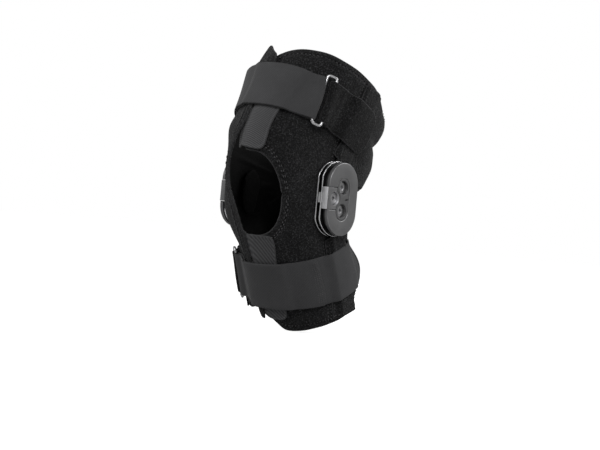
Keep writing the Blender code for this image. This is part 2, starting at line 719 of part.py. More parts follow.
def tab_patch(name, s_range, phi_range):
    def place(u, v):
        s = s_range[0] + (s_range[1] - s_range[0]) * v
        phi = phi_range[0] + (phi_range[1] - phi_range[0]) * u
        return limb_point(s, phi, WRAP_THICKNESS + GAP)

    return surface_piece(name, *TAB_GRID, place, TAB_CLOTH, TAB_TWILL)


def plateau(phi, shape):
    """One within a half width of the middle angle, falling to nothing over the ramp beyond it."""
    middle, half_width, ramp = shape
    return 1 - smooth_step((abs(phi - middle) - half_width) / ramp)


def strap_height(phi):
    """Underside of a strap above the inside of the wrap: it rides over tabs and pockets."""
    tab = plateau(phi, TAB_RISE_SHAPE)
    pocket = plateau(abs(phi), POCKET_RISE_SHAPE)
    return WRAP_THICKNESS + GAP + tab * (TAB_CLOTH + GAP) + pocket * POCKET_RISE


def thigh_strap_centre(phi):
    """The thigh strap slopes down from the front of the inner side to the outer ring."""
    share = max(0.0, math.cos(math.radians(phi - THIGH_STRAP_CREST)))
    return THIGH_STRAP_HEIGHT + THIGH_STRAP_SLOPE * share**2


def calf_strap_centre(phi):
    """The calf strap is level in front and rises a little behind the outer side."""
    start, length = CALF_STRAP_RAMP
    return CALF_STRAP_HEIGHT + CALF_STRAP_RISE * smooth_step((phi - start) / length)


def band(name, path, centre, width, thickness, material):
    """A band whose length follows path, a list of (phi, middle height) points."""
    angles = [point[0] for point in path]
    heights = [point[1] for point in path]
    ticks = np.linspace(0, 1, len(path))

    def place(u, v):
        phi = float(np.interp(u, ticks, angles))
        height = float(np.interp(u, ticks, heights))
        return limb_point(centre(phi) + (v - 0.5) * width, phi, height)

    flip = path[-1][0] < path[0][0]
    item = surface_piece(name, len(path) - 1, BAND_ROWS, place, thickness, material, offset=0.0)
    if flip:
        item.data.flip_normals()
    return item


def run(start, end, layer, thickness):
    """Path points from one angle to another with the strap's underside raised by layer."""
    way = 1 if end > start else -1
    first = math.floor(start * way / BAND_STEP) + 1
    last = math.ceil(end * way / BAND_STEP)
    angles = [start, *[way * BAND_STEP * tick for tick in range(first, last)], end]
    return [(phi, strap_height(phi) + layer + thickness / 2) for phi in angles]


def fold(bar_phi, direction, height, thickness, centre, end=180.0):
    """Path points that carry a band round a ring's bar, from under it to above it."""
    radius = RING_WIRE + RING_CLEARANCE + thickness / 2
    spread = degrees_per_metre(centre(bar_phi), bar_phi, height)
    points = []
    for turn in np.radians(np.linspace(0, end, FOLD_ROWS)):
        phi = bar_phi + direction * radius * math.sin(turn) * spread
        points.append((phi, height - radius * math.cos(turn)))
    return points


def ring_height():
    """Middle of a ring's wire above the inside of the wrap."""
    return WRAP_THICKNESS + GAP + ANCHOR_CLOTH + RING_CLEARANCE + RING_WIRE


def bar_angle(side, centre, towards_back):
    """Angle of the ring's front or back bar."""
    spread = degrees_per_metre(centre(side * RING_ANGLES[side]), side * RING_ANGLES[side], ring_height())
    shift = RING_HALF_WIDTH * spread
    return side * (RING_ANGLES[side] + (shift if towards_back else -shift))


def ring_frame(side, centre):
    """Axes of a ring: across (round the limb, to the back), along the limb, and outwards."""
    phi = side * RING_ANGLES[side]
    s = centre(phi)
    bars = [limb_point(s, bar_angle(side, centre, back), ring_height()) for back in (False, True)]
    middle = (bars[0] + bars[1]) / 2
    height = ring_height()
    along = (limb_point(s + 5 * MM, phi, height) - limb_point(s - 5 * MM, phi, height)).normalized()
    around = limb_point(s, phi + side * 3, height) - limb_point(s, phi - side * 3, height)
    around = (around - along * around.dot(along)).normalized()
    return middle, around, along


def make_ring(name, side, centre):
    middle, around, along = ring_frame(side, centre)
    curve = bpy.data.curves.new(name, "CURVE")
    curve.dimensions = "3D"
    curve.bevel_depth = RING_WIRE
    curve.bevel_resolution = 2
    spline = curve.splines.new("POLY")
    points = []
    for quarter, (a, b) in enumerate(((1, 1), (-1, 1), (-1, -1), (1, -1))):
        corner = (a * (RING_HALF_WIDTH - RING_CORNER), b * (RING_HALF_LENGTH - RING_CORNER))
        points += arc(corner, RING_CORNER, quarter * 90, quarter * 90 + 90, 30)
    spline.points.add(len(points) - 1)
    for point, (a, b) in zip(spline.points, points):
        point.co = (*(middle + around * a + along * b), 1)
    spline.use_cyclic_u = True
    wire = bpy.data.objects.new(name + "_wire", curve)
    bpy.context.scene.collection.objects.link(wire)
    bpy.context.view_layer.update()
    graph = bpy.context.evaluated_depsgraph_get()
    mesh = bpy.data.meshes.new_from_object(wire.evaluated_get(graph))
    bpy.data.objects.remove(wire, do_unlink=True)
    return add_object(name, mesh, RING_CHROME)


def make_strap_set(name, side, centre, ends):
    """Base band, ring, anchor band and the tail that folds back over the base."""
    base_start, tail_end, anchor_end = ends
    front_bar = bar_angle(side, centre, False)
    back_bar = bar_angle(side, centre, True)
    wire = ring_height()
    base = run(base_start, front_bar - side * BAR_CLEARANCE_ANGLE, 0, STRAP_CLOTH)
    base += fold(front_bar, side, wire, STRAP_CLOTH, centre, BASE_FOLD_END)
    band(name, base, centre, STRAP_WIDTH, STRAP_CLOTH, STRAP_WEBBING)
    over = STRAP_CLOTH + TAIL_GAP
    top = wire + RING_WIRE + RING_CLEARANCE + STRAP_CLOTH / 2
    tail = [(front_bar - side * TAIL_START_ANGLE, top)]
    tail += run(front_bar - side * TAIL_SETTLE_ANGLE, tail_end, over, STRAP_CLOTH)
    band(name + "_tail", tail, centre, STRAP_WIDTH, STRAP_CLOTH, STRAP_WEBBING)
    anchor = fold(back_bar, -side, wire, ANCHOR_CLOTH, centre)[::-1]
    anchor += run(back_bar + side * BAR_CLEARANCE_ANGLE, anchor_end, 0, ANCHOR_CLOTH)
    band(name + "_anchor", anchor, centre, STRAP_WIDTH, ANCHOR_CLOTH, ANCHOR_LOOP)
    make_ring(name + "_ring", side, centre)


def make_soft_fittings():
    for side, name in ((1, "lateral"), (-1, "medial")):
        make_pocket(f"{name}_thigh_pocket", side, 1)
        make_pocket(f"{name}_calf_pocket", side, -1)
        make_condyle_pad(f"{name}_condyle_pad", side)
    tab_patch("upper_closure_tab", UPPER_TAB_SPAN, UPPER_TAB_ANGLES)
    tab_patch("lower_closure_tab", LOWER_TAB_SPAN, LOWER_TAB_ANGLES)
    make_strap_set("thigh_strap", 1, thigh_strap_centre, THIGH_STRAP_ENDS)
    make_strap_set("calf_strap", -1, calf_strap_centre, CALF_STRAP_ENDS)


# ---- assembly ---------------------------------------------------------------------------


def joint_empty(name, place, parent=None):
    empty = bpy.data.objects.new(name, None)
    empty.location = place
    PARTS.objects.link(empty)
    if parent:
        empty.parent = parent
        empty.location = Vector(place) - parent.matrix_world.translation
    bpy.context.view_layer.update()
    return empty


def attach(parent, words):
    """Parent every free part whose name holds one of the words, without moving it."""
    for item in PARTS.objects:
        if item.type == "EMPTY" or item.parent:
            continue
        if any(word in item.name for word in words):
            item.parent = parent
            item.matrix_parent_inverse = parent.matrix_world.inverted()


def assemble():
    thigh = joint_empty("thigh_body", (0, 0, 0))
    knee = joint_empty("knee_upper_pivot", (0, 0, PIVOT_HEIGHT), thigh)
    calf = joint_empty("knee_lower_pivot", (0, 0, -PIVOT_HEIGHT), knee)
    for side, name in ((1, "lateral"), (-1, "medial")):
        place = (side * COVER[1], INSERT_SCREW_Y, 0)
        slide = joint_empty(f"{name}_stop_slide", place, knee)
        turn = joint_empty(f"{name}_insert_screw_turn", place, slide)
        attach(turn, [f"{name}_insert_screw"])
        attach(slide, [f"{name}_stop_insert"])
    for name, side, centre, body in (
        ("thigh_strap", 1, thigh_strap_centre, thigh),
        ("calf_strap", -1, calf_strap_centre, calf),
    ):
        middle, around, _ = ring_frame(side, centre)
        bar = joint_empty(f"{name}_tail_fold", middle - around * RING_HALF_WIDTH, body)
        attach(bar, [f"{name}_tail"])
    attach(calf, ["calf_lateral_panel", "calf_medial_panel", "calf_back_panel", "calf_upright"])
    attach(calf, ["calf_pocket", "calf_strap", "lower_closure_tab"])
    attach(knee, ["knee_", "plate", "spacer", "cover", "bridge", "pivot_screw", "washer", "condyle"])
    attach(thigh, ["thigh_", "upper_closure_tab"])
    return thigh


def centre_on_box(root):
    """Move the brace and its cutters so that the origin is mid-box in Y and Z."""
    for cutter in CUTTERS.objects:
        cutter.parent = root
    bpy.context.view_layer.update()
    parts = [item for item in PARTS.objects if item.type == "MESH"]
    corners = np.array([item.matrix_world @ Vector(c) for item in parts for c in item.bound_box])
    middle = (corners.min(0) + corners.max(0)) / 2
    root.location = (0, -middle[1], -middle[2])


def shade_round_parts():
    for item in PARTS.objects:
        if item.type == "MESH" and len(item.data.polygons):
            item.data.shade_smooth()
            item.data.set_sharp_from_angle(angle=math.radians(35))


make_wrap()
make_hinge(1, "lateral")
make_hinge(-1, "medial")
make_soft_fittings()
shade_round_parts()
centre_on_box(assemble())
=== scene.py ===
"""Look of the hinged knee brace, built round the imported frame.

Soft pieces are placed by (phi, s, h): phi is the angle round the limb in degrees from the front
(90 is the outer side, -90 or 270 the inner side), s is the distance in millimetres along the limb
from the knee centre, and h is the height in millimetres above the inside of the wrap. Lengths are
in millimetres until a mesh is made.
"""

import json
import math

import bmesh
import bpy
import numpy as np
from mathutils import Matrix, Vector
from mathutils.geometry import delaunay_2d_cdt


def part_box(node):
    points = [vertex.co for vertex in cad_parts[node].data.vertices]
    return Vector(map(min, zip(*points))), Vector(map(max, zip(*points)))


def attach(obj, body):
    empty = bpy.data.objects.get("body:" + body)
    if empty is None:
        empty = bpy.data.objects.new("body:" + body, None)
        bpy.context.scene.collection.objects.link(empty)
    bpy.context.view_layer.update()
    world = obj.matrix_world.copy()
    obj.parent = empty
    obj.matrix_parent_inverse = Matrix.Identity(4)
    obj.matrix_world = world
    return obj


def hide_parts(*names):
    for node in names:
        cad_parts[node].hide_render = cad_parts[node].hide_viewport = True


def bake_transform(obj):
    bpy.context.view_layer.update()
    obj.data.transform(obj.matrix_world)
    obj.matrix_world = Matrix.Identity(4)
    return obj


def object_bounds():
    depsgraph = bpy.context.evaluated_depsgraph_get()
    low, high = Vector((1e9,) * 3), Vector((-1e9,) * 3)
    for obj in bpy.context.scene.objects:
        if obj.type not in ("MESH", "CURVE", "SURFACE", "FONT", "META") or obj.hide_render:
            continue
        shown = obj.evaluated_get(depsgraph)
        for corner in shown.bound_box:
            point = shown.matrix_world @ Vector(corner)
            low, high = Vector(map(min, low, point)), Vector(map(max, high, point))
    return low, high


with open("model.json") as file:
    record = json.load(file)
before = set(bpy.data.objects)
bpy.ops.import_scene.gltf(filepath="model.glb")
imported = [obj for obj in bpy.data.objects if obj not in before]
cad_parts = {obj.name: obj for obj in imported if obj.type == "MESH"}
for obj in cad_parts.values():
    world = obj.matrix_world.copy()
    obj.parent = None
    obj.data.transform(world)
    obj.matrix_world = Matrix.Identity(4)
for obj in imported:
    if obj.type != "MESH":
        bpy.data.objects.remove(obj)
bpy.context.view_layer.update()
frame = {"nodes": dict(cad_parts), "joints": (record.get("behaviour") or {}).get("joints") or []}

MM = 0.001


def box_mm(node):
    low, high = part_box(node)
    return np.array(low) / MM, np.array(high) / MM


COVER_LOW, COVER_HIGH = box_mm("lateral_hinge_cover")
KNEE = np.array([0.0, *((COVER_LOW + COVER_HIGH) / 2)[1:]])

# ---- the limb -----------------------------------------------------------------------------

REST_TILT = math.radians(20)
CURVED_LENGTH = 45.0
STATION_STEP = 45.0
HALF_WIDTH = (56, 57, 53.3, 53.3, 53.5, 62, 67)
FRONT_DEPTH = (42, 43, 50, 61, 73, 66, 65)
BACK_DEPTH = (59, 62, 55, 60, 84, 83, 66)
SECTION_POWER = 2 / 2.3
CENTRE_Y = -4.0
SHIN_HOLLOW = 9.0
SHIN_ANGLE = 42.0
SHIN_TOP = -10.0
SHIN_BLEND = 50.0
WRAP = 4.0
CLOTH = 1.5
GAP = 0.3
PIVOT = 11.7


def smooth(value):
    share = np.clip(value, 0.0, 1.0)
    return share * share * (3 - 2 * share)


def bump(value, centre, spread):
    """One at the centre, falling smoothly to nothing at spread on both sides."""
    return np.cos(np.clip(np.abs(value - centre) / spread, 0, 1) * math.pi / 2) ** 2


def wrapped(phi):
    return (np.asarray(phi, float) + 180.0) % 360.0 - 180.0


def section_size(sizes, s):
    """Catmull-Rom value of a list of sizes spaced by STATION_STEP, for many places at once."""
    sizes = np.array(sizes, float)
    last = len(sizes) - 1
    place = np.clip(s / STATION_STEP + last / 2, 0, last - 1e-6)
    index = place.astype(int)
    t = place - index
    before = sizes[np.maximum(index - 1, 0)]
    low = sizes[index]
    high = sizes[index + 1]
    after = sizes[np.minimum(index + 2, last)]
    rise = (2 * t**3 - 3 * t**2 + 1) * low + (t**3 - 2 * t**2 + t) * (high - before) / 2
    return rise + (3 * t**2 - 2 * t**3) * high + (t**3 - t**2) * (after - low) / 2


def lean(s):
    """Tilt of the limb away from the upright: forward below the knee, back above it."""
    return REST_TILT * np.sin(np.clip(s / CURVED_LENGTH, -1, 1) * math.pi / 2)


def centre_line():
    """The bent middle of the limb, from the sum of many short leaning steps."""
    step = 0.5
    count = 400
    stations = np.arange(-count, count + 1) * step
    leans = lean(stations)

    def summed(share):
        sums = np.concatenate([[0.0], np.cumsum((share[1:] + share[:-1]) / 2 * step)])
        return sums - sums[count]

    return stations, summed(np.sin(leans)) + CENTRE_Y, summed(np.cos(leans))


LINE_S, LINE_Y, LINE_Z = centre_line()


def limb(phi, s, h):
    """Places in the row frame, in millimetres, for arrays of phi, s and h."""
    phi, s, h = np.broadcast_arrays(wrapped(phi), np.asarray(s, float), np.asarray(h, float))
    h = h - SHIN_HOLLOW * bump(phi, -SHIN_ANGLE, SHIN_ANGLE) * smooth((SHIN_TOP - s) / SHIN_BLEND)
    side = np.sin(np.radians(phi))
    front = np.cos(np.radians(phi))
    depth = np.where(front > 0, section_size(FRONT_DEPTH, s), section_size(BACK_DEPTH, s)) + h
    across = section_size(HALF_WIDTH, s) + h
    x = across * np.sign(side) * np.abs(side) ** SECTION_POWER
    forward = depth * np.sign(front) * np.abs(front) ** SECTION_POWER
    tilt = lean(s)
    y = np.interp(s, LINE_S, LINE_Y) - forward * np.cos(tilt)
    z = np.interp(s, LINE_S, LINE_Z) + forward * np.sin(tilt)
    return np.stack([x, y, z], -1) + KNEE


def limb_axes(phi, s, h):
    """Unit vectors round the limb, along it and outwards at each place."""
    around = limb(phi + 0.5, s, h) - limb(phi - 0.5, s, h)
    along = limb(phi, s + 0.5, h) - limb(phi, s - 0.5, h)
    around /= np.linalg.norm(around, axis=-1, keepdims=True)
    out = np.cross(around, along)
    out /= np.linalg.norm(out, axis=-1, keepdims=True)
    return around, np.cross(out, around), out


def round_limb(phi, s, h):
    """Millimetres of surface for one degree round the limb."""
    return float(np.linalg.norm(limb(phi + 0.5, s, h) - limb(phi - 0.5, s, h)))


def ripple(phi, s, seed=0.0):
    """Soft unevenness of worn cloth, about one millimetre from peak to peak."""
    a = np.radians(phi)
    slow = np.sin(5 * a + s / 19 + seed) * np.sin(s / 23 - 2 * a + 1.3 * seed)
    fast = np.sin(11 * a - s / 9 + 2 * seed) * np.sin(s / 11 + 6 * a)
    return 0.35 * slow + 0.14 * fast


# ---- materials ----------------------------------------------------------------------------


def new_material(name):
    material = bpy.data.materials.new(name)
    material.use_nodes = True
    tree = material.node_tree
    return material, tree, tree.nodes["Principled BSDF"]


def fill(tree, node, inputs):
    """Set each named input of a node to a value, or link it to another node's socket."""
    for name, value in inputs.items():
        if isinstance(value, bpy.types.NodeSocket):
            tree.links.new(value, node.inputs[name])
        else:
            node.inputs[name].default_value = value


def new_node(tree, kind, inputs, **settings):
    node = tree.nodes.new(f"ShaderNode{kind}")
    for name, value in settings.items():
        setattr(node, name, value)
    fill(tree, node, inputs)
    return node


def object_coordinates(tree, scale=(1, 1, 1), turn=(0, 0, 0)):
    place = new_node(tree, "TexCoord", {}).outputs["Object"]
    inputs = {"Vector": place, "Scale": scale, "Rotation": turn}
    return new_node(tree, "Mapping", inputs).outputs["Vector"]


def noise(tree, place, per_metre, detail, roughness):
    inputs = {"Vector": place, "Scale": per_metre, "Detail": detail, "Roughness": roughness}
    return new_node(tree, "TexNoise", inputs).outputs["Fac"]


def ramp(tree, value, low, high, dark, light):
    node = new_node(tree, "ValToRGB", {"Fac": value})
    for element, place, colour in zip(node.color_ramp.elements, (low, high), (dark, light)):
        element.position = place
        element.color = colour
    return node.outputs["Color"]


def math_node(tree, operation, a, b):
    return new_node(tree, "Math", {0: a, 1: b}, operation=operation).outputs["Value"]


def remap(tree, value, low, high, new_low, new_high):
    inputs = {"Value": value, "From Min": low, "From Max": high, "To Min": new_low, "To Max": new_high}
    return new_node(tree, "MapRange", inputs).outputs["Result"]


def bump_map(tree, height, distance, strength, **below):
    inputs = {"Height": height, "Distance": distance * MM, "Strength": strength, **below}
    return new_node(tree, "Bump", inputs).outputs["Normal"]


def blend_colour(tree, share, first, second, mode="MIX"):
    inputs = {"Factor": share, "A": first, "B": second}
    node = new_node(tree, "Mix", inputs, data_type="RGBA", blend_type=mode)
    return node.outputs["Result"]


def grey(value, tint=1.02):
    return (value, value, value * tint, 1.0)


def loop_cloth(name, dark, light, fleck, sheen=0.06):
    """Brushed loop pile: fine curled fibres, light flecks and slow patches of wear."""
    material, tree, shader = new_material(name)
    place = object_coordinates(tree)
    fibre = noise(tree, place, 1500, 2.0, 0.7)
    fleck_spots = noise(tree, place, 780, 2.0, 0.65)
    tuft = noise(tree, place, 480, 3.0, 0.6)
    patch = noise(tree, place, 42, 3.0, 0.5)
    base = ramp(tree, tuft, 0.36, 0.66, grey(dark), grey(light))
    specks = ramp(tree, fleck_spots, 0.50, 0.70, grey(0.0), grey(fleck))
    spotted = blend_colour(tree, 0.9, base, specks, "ADD")
    wear = ramp(tree, patch, 0.3, 0.75, grey(0.75), grey(1.25))
    fill(tree, shader, {
        "Base Color": blend_colour(tree, 1.0, spotted, wear, "MULTIPLY"),
        "Roughness": remap(tree, tuft, 0.3, 0.7, 0.86, 1.0),
        "Normal": bump_map(tree, fibre, 0.5, 0.8, Normal=bump_map(tree, tuft, 0.9, 0.9)),
        "Sheen Weight": sheen,
        "Sheen Roughness": 0.4,
        "Specular IOR Level": 0.12,
    })
    return material


def lining_cloth(name, value):
    """Smooth knitted cloth with a faint rib."""
    material, tree, shader = new_material(name)
    place = object_coordinates(tree)
    knit = noise(tree, place, 900, 2.0, 0.5)
    patch = noise(tree, place, 30, 2.0, 0.5)
    fill(tree, shader, {
        "Base Color": ramp(tree, patch, 0.3, 0.75, grey(value * 0.7), grey(value * 1.5)),
        "Roughness": remap(tree, knit, 0.3, 0.7, 0.62, 0.8),
        "Normal": bump_map(tree, knit, 0.25, 0.5),
        "Specular IOR Level": 0.07,
    })
    return material


def woven(name, dark, light, per_metre, turn=(0, 0, 0), slant=False):
    """Woven webbing: two crossing thread waves, or one slanting rib for twill."""
    material, tree, shader = new_material(name)
    place = object_coordinates(tree, turn=turn)

    def threads(direction, scale):
        inputs = {"Vector": place, "Scale": scale, "Distortion": 0.6, "Detail": 1.0, "Detail Scale": 2.0}
        node = new_node(tree, "TexWave", inputs, wave_type="BANDS", bands_direction=direction)
        return node.outputs["Fac"]

    if slant:
        weave = threads("DIAGONAL", per_metre)
    else:
        crossing = threads("DIAGONAL", per_metre * 0.8)
        weave = math_node(tree, "MULTIPLY", threads("Z", per_metre), crossing)
    grain = noise(tree, place, 1300, 2.0, 0.6)
    patch = noise(tree, place, 35, 3.0, 0.5)
    share = 0.55 if slant else 0.4
    weave = math_node(tree, "MULTIPLY", weave, share)
    mixed = math_node(tree, "ADD", weave, math_node(tree, "MULTIPLY", grain, 1 - share))
    base = ramp(tree, mixed, 0.18, 0.75, grey(dark), grey(light))
    wear = ramp(tree, patch, 0.3, 0.7, grey(0.9), grey(1.1))
    fill(tree, shader, {
        "Base Color": blend_colour(tree, 1.0, base, wear, "MULTIPLY"),
        "Roughness": remap(tree, grain, 0.3, 0.7, 0.72, 0.88),
        "Normal": bump_map(tree, mixed, 0.35, 0.7),
        "Sheen Weight": 0.06,
        "Specular IOR Level": 0.15,
    })
    return material


def metal(name, dark, light, roughness, streaks=(400, 400, 60), worn=0.0, relief=0.35):
    """Brushed or satin metal: fine streaks, uneven polish and brighter worn edges."""
    material, tree, shader = new_material(name)
    place = object_coordinates(tree)
    streak = noise(tree, object_coordinates(tree, scale=streaks), 6.0, 3.0, 0.6)
    smudge = noise(tree, place, 70, 3.0, 0.6)
    base = ramp(tree, smudge, 0.3, 0.75, grey(dark), grey(light))
    if worn:
        pointiness = new_node(tree, "NewGeometry", {}).outputs["Pointiness"]
        edge = remap(tree, pointiness, 0.52, 0.60, 0.0, 1.0)
        base = blend_colour(tree, math_node(tree, "MULTIPLY", edge, smudge), base, grey(worn))
    fill(tree, shader, {
        "Base Color": base,
        "Roughness": remap(tree, streak, 0.3, 0.7, roughness * 0.8, roughness * 1.25),
        "Normal": bump_map(tree, streak, 0.02, relief),
        "Metallic": 1.0,
    })
    return material


def moulded(name, value, roughness):
    """Moulded or painted surface with a fine eggshell grain."""
    material, tree, shader = new_material(name)
    place = object_coordinates(tree)
    grain = noise(tree, place, 1800, 2.0, 0.5)
    patch = noise(tree, place, 60, 3.0, 0.5)
    fill(tree, shader, {
        "Base Color": ramp(tree, patch, 0.3, 0.7, grey(value * 0.9), grey(value * 1.12)),
        "Roughness": remap(tree, patch, 0.3, 0.7, roughness * 0.9, roughness * 1.15),
        "Normal": bump_map(tree, grain, 0.03, 0.4),
        "Specular IOR Level": 0.45,
    })
    return material


WRAP_CLOTH = loop_cloth("wrap_loop_cloth", 0.0012, 0.0080, 0.033)
ANCHOR_CLOTH = loop_cloth("anchor_loop_cloth", 0.0004, 0.0045, 0.027)
# Painted highlight: the rounded edges of the wrap and of the anchor band get a lighter loop cloth than
# their faces, standing in for the light lines along those edges.
RIM_HIGHLIGHT_CLOTH = loop_cloth("rim_painted_highlight", 0.012, 0.024, 0.02, 0.1)
LINING = lining_cloth("wrap_lining", 0.0014)
PAD_CLOTH = lining_cloth("pad_cover", 0.0014)
THREAD = lining_cloth("stitch_thread", 0.045)
# Painted highlight: the pocket edges get a lighter cloth than the pocket faces, standing in for the light
# line along them.
POCKET_RIM_HIGHLIGHT = lining_cloth("pocket_rim_painted_highlight", 0.028)
STRAP_WEB = woven("strap_webbing", 0.021, 0.047, 330)
STRAP_EDGE = woven("strap_selvedge", 0.018, 0.042, 420)
TAB_TWILL = woven("tab_twill", 0.022, 0.054, 240, turn=(0.2, 0.5, 0.0), slant=True)
COVER_SATIN = moulded("cover_satin", 0.066, 0.42)
COVER_SIDE = moulded("cover_side", 0.07, 0.4)
COVER_RIM = metal("cover_rim", 0.15, 0.22, 0.42)
WELL_RIM = metal("well_rim", 0.05, 0.09, 0.4)
PLATE_FACE = metal("plate_dark_face", 0.015, 0.03, 0.5)
PLATE_EDGE = metal("plate_bare_edge", 0.55, 0.75, 0.36)
BRIDGE_SATIN = moulded("bridge_satin", 0.05, 0.42)
SPACER_BLACK = moulded("spacer_black", 0.012, 0.5)
INSERT_FACE = moulded("insert_face", 0.085, 0.34)
INSERT_BARE = metal("insert_bare_front", 0.6, 0.85, 0.5, relief=0.2)
SCREW_STEEL = metal("screw_steel", 0.22, 0.36, 0.34, streaks=(60, 60, 60), worn=0.5, relief=0.03)
RING_STEEL = metal("ring_steel", 0.35, 0.5, 0.32, relief=0.1)
UPRIGHT_ALLOY = metal("upright_alloy", 0.14, 0.24, 0.4)
WASHER_NYLON = moulded("washer_nylon", 0.35, 0.45)

# ---- mesh helpers -------------------------------------------------------------------------


def mesh_piece(name, points, faces, materials, face_materials=None, sharp=50.0):
    """A closed piece from millimetre points; faces are tuples and point outwards."""
    mesh = bpy.data.meshes.new(name)
    whole = [tuple(int(i) for i in face) for face in faces]
    mesh.from_pydata((np.asarray(points) * MM).tolist(), [], whole)
    for material in materials:
        mesh.materials.append(material)
    if face_materials is not None:
        mesh.polygons.foreach_set("material_index", np.asarray(face_materials, np.int32))
    mesh.shade_smooth()
    mesh.set_sharp_from_angle(angle=math.radians(sharp))
    mesh.validate()
    mesh.update()
    return put(name, mesh)


def put(name, data):
    """A new object in the scene."""
    item = bpy.data.objects.new(name, data)
    bpy.context.scene.collection.objects.link(item)
    return item


def point_out(item):
    """Turn a closed piece's faces outwards."""
    solid = bmesh.new()
    solid.from_mesh(item.data)
    bmesh.ops.recalc_face_normals(solid, faces=solid.faces)
    if solid.calc_volume(signed=True) < 0:
        bmesh.ops.reverse_faces(solid, faces=solid.faces)
    solid.to_mesh(item.data)
    solid.free()
    return item


def finish(item, body, slot, *nodes):
    """Put a piece on its body and hide the CAD nodes that it stands for."""
    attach(item, body)
    if nodes:
        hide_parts(*nodes)
    return item


def curve_through(points, step=1.6, closed=False):
    """Catmull-Rom curve through points, sampled about every step."""
    points = np.array(points, float)
    count = len(points)
    out = []
    for i in range(count if closed else count - 1):
        near = [i + k for k in (-1, 0, 1, 2)]
        a, b, c, d = (points[k % count if closed else min(max(k, 0), count - 1)] for k in near)
        pieces = max(1, int(round(np.linalg.norm(c - b) / step)))
        for t in np.arange(pieces) / pieces:
            bend = (2 * a - 5 * b + 4 * c - d) * t * t + (3 * b - a - 3 * c + d) * t**3
            out.append(0.5 * (2 * b + (c - a) * t + bend))
    if not closed:
        out.append(points[-1])
    return np.array(out)


def resample(points, step):
    """Evenly spaced points along an open polyline."""
    lengths = np.concatenate([[0], np.cumsum(np.linalg.norm(np.diff(points, axis=0), axis=1))])
    count = max(2, int(lengths[-1] / step) + 1)
    ticks = np.linspace(0, lengths[-1], count)
    return np.stack([np.interp(ticks, lengths, points[:, k]) for k in range(points.shape[1])], -1)


def inside(points, loop):
    """Which 2D points lie inside a closed loop."""
    x, y = points[:, 0], points[:, 1]
    hit = np.zeros(len(points), bool)
    for (ax, ay), (bx, by) in zip(loop, np.roll(loop, -1, axis=0)):
        if ay == by:
            continue
        crosses = (ay > y) != (by > y)
        hit ^= crosses & (x < (bx - ax) * (y - ay) / (by - ay) + ax)
    return hit


def distance_to(points, line):
    """Distance from each 2D point to the nearest stretch of a closed or open polyline."""
    best = np.full(len(points), 1e9)
    for a, b in zip(line[:-1], line[1:]):
        d = b - a
        length = max(float(d @ d), 1e-12)
        t = np.clip(((points - a) @ d) / length, 0, 1)
        best = np.minimum(best, np.hypot(*(points - a - t[:, None] * d).T))
    return best


def offset_line(line, distance):
    """Closed polyline moved to its left by distance."""
    way = np.roll(line, -1, axis=0) - np.roll(line, 1, axis=0)
    way /= np.linalg.norm(way, axis=1, keepdims=True) + 1e-9
    return line + distance * np.stack([-way[:, 1], way[:, 0]], -1)


def turning(loop):
    """Twice the signed area of a closed loop: above nothing when it runs anticlockwise."""
    x, y = loop[:, 0], loop[:, 1]
    return float(np.sum(x * np.roll(y, -1) - np.roll(x, -1) * y))


def tidy_loop(loop, hole):
    """A loop without doubled points, anticlockwise round material and clockwise round a hole."""
    loop = np.array(loop, float)
    loop = loop[np.linalg.norm(loop - np.roll(loop, 1, axis=0), axis=1) > 1e-4]
    return loop if (turning(loop) > 0) != hole else loop[::-1]


def flat_net(loop, spacing, rings):
    """Triangles that fill a closed anticlockwise loop, with extra rows of points near its edge."""
    low, high = loop.min(0), loop.max(0)
    columns = np.arange(low[0], high[0], spacing)
    rows = np.arange(low[1], high[1], spacing * 0.87)
    grid = [(x + (spacing / 2 if r % 2 else 0), y) for r, y in enumerate(rows) for x in columns]
    grid = np.array(grid)
    closed = np.vstack([loop, loop[:1]])
    grid = grid[inside(grid, loop)]
    grid = grid[distance_to(grid, closed) > rings[-1] + spacing * 0.55]
    parts = [loop, grid]
    for distance in rings:
        row = offset_line(loop, distance)
        row = row[inside(row, loop)]
        gap = distance_to(row, closed)
        parts.append(row[gap > distance * 0.93])
    points = np.vstack(parts)
    edges = [(i, (i + 1) % len(loop)) for i in range(len(loop))]
    out = delaunay_2d_cdt([Vector(p) for p in points.tolist()], edges, [], 0, 1e-5)
    points = np.array([(p.x, p.y) for p in out[0]])
    triangles = np.array([f for f in out[2] if len(f) == 3])
    middle = points[triangles].mean(1)
    triangles = triangles[inside(middle, loop)]
    a, b, c = (points[triangles[:, k]] for k in range(3))
    area = (b[:, 0] - a[:, 0]) * (c[:, 1] - a[:, 1]) - (b[:, 1] - a[:, 1]) * (c[:, 0] - a[:, 0])
    triangles = triangles[np.abs(area) > 1e-6]
    area = area[np.abs(area) > 1e-6]
    triangles[area < 0] = triangles[area < 0][:, ::-1]
    used = np.unique(triangles)
    renumber = np.full(len(points), -1)
    renumber[used] = np.arange(len(used))
    return points[used], renumber[triangles]


def rim_loops(faces):
    """Boundary vertices of a net, as closed anticlockwise loops."""
    edges = {(face[k - 1], face[k]) for face in faces for k in range(len(face))}
    follow = {a: b for a, b in edges if (b, a) not in edges}
    loops = []
    while follow:
        start, at = follow.popitem()
        loop = [start]
        while at != start:
            loop.append(at)
            at = follow.pop(at)
        loops.append(loop)
    return loops


RIM_STEPS = 6


def cloth_sheet(name, loop, inner_h, thickness, materials, spacing, rings, flat_rim=None):
    """A cloth panel with rounded edges. inner_h and thickness are functions of (phi, s, edge).

    edge is the distance to the panel's outline. spacing is the size of the net's triangles, and
    rings are the distances from the outline of its extra rows. flat_rim marks edge points that
    stay square.
    """
    net, triangles = flat_net(loop, spacing, rings)
    edge = hem_distance(net, loop, flat_rim)
    phi, s = net[:, 0], net[:, 1]
    low = inner_h(phi, s, edge)
    high = low + thickness(phi, s, edge)
    out = limb_axes(phi, s, (low + high) / 2)[2]
    square = None if flat_rim is None else flat_rim(net)
    outer, inner = limb(phi, s, high), limb(phi, s, low)
    return thick_sheet(name, outer, inner, out, triangles.tolist(), materials, square)


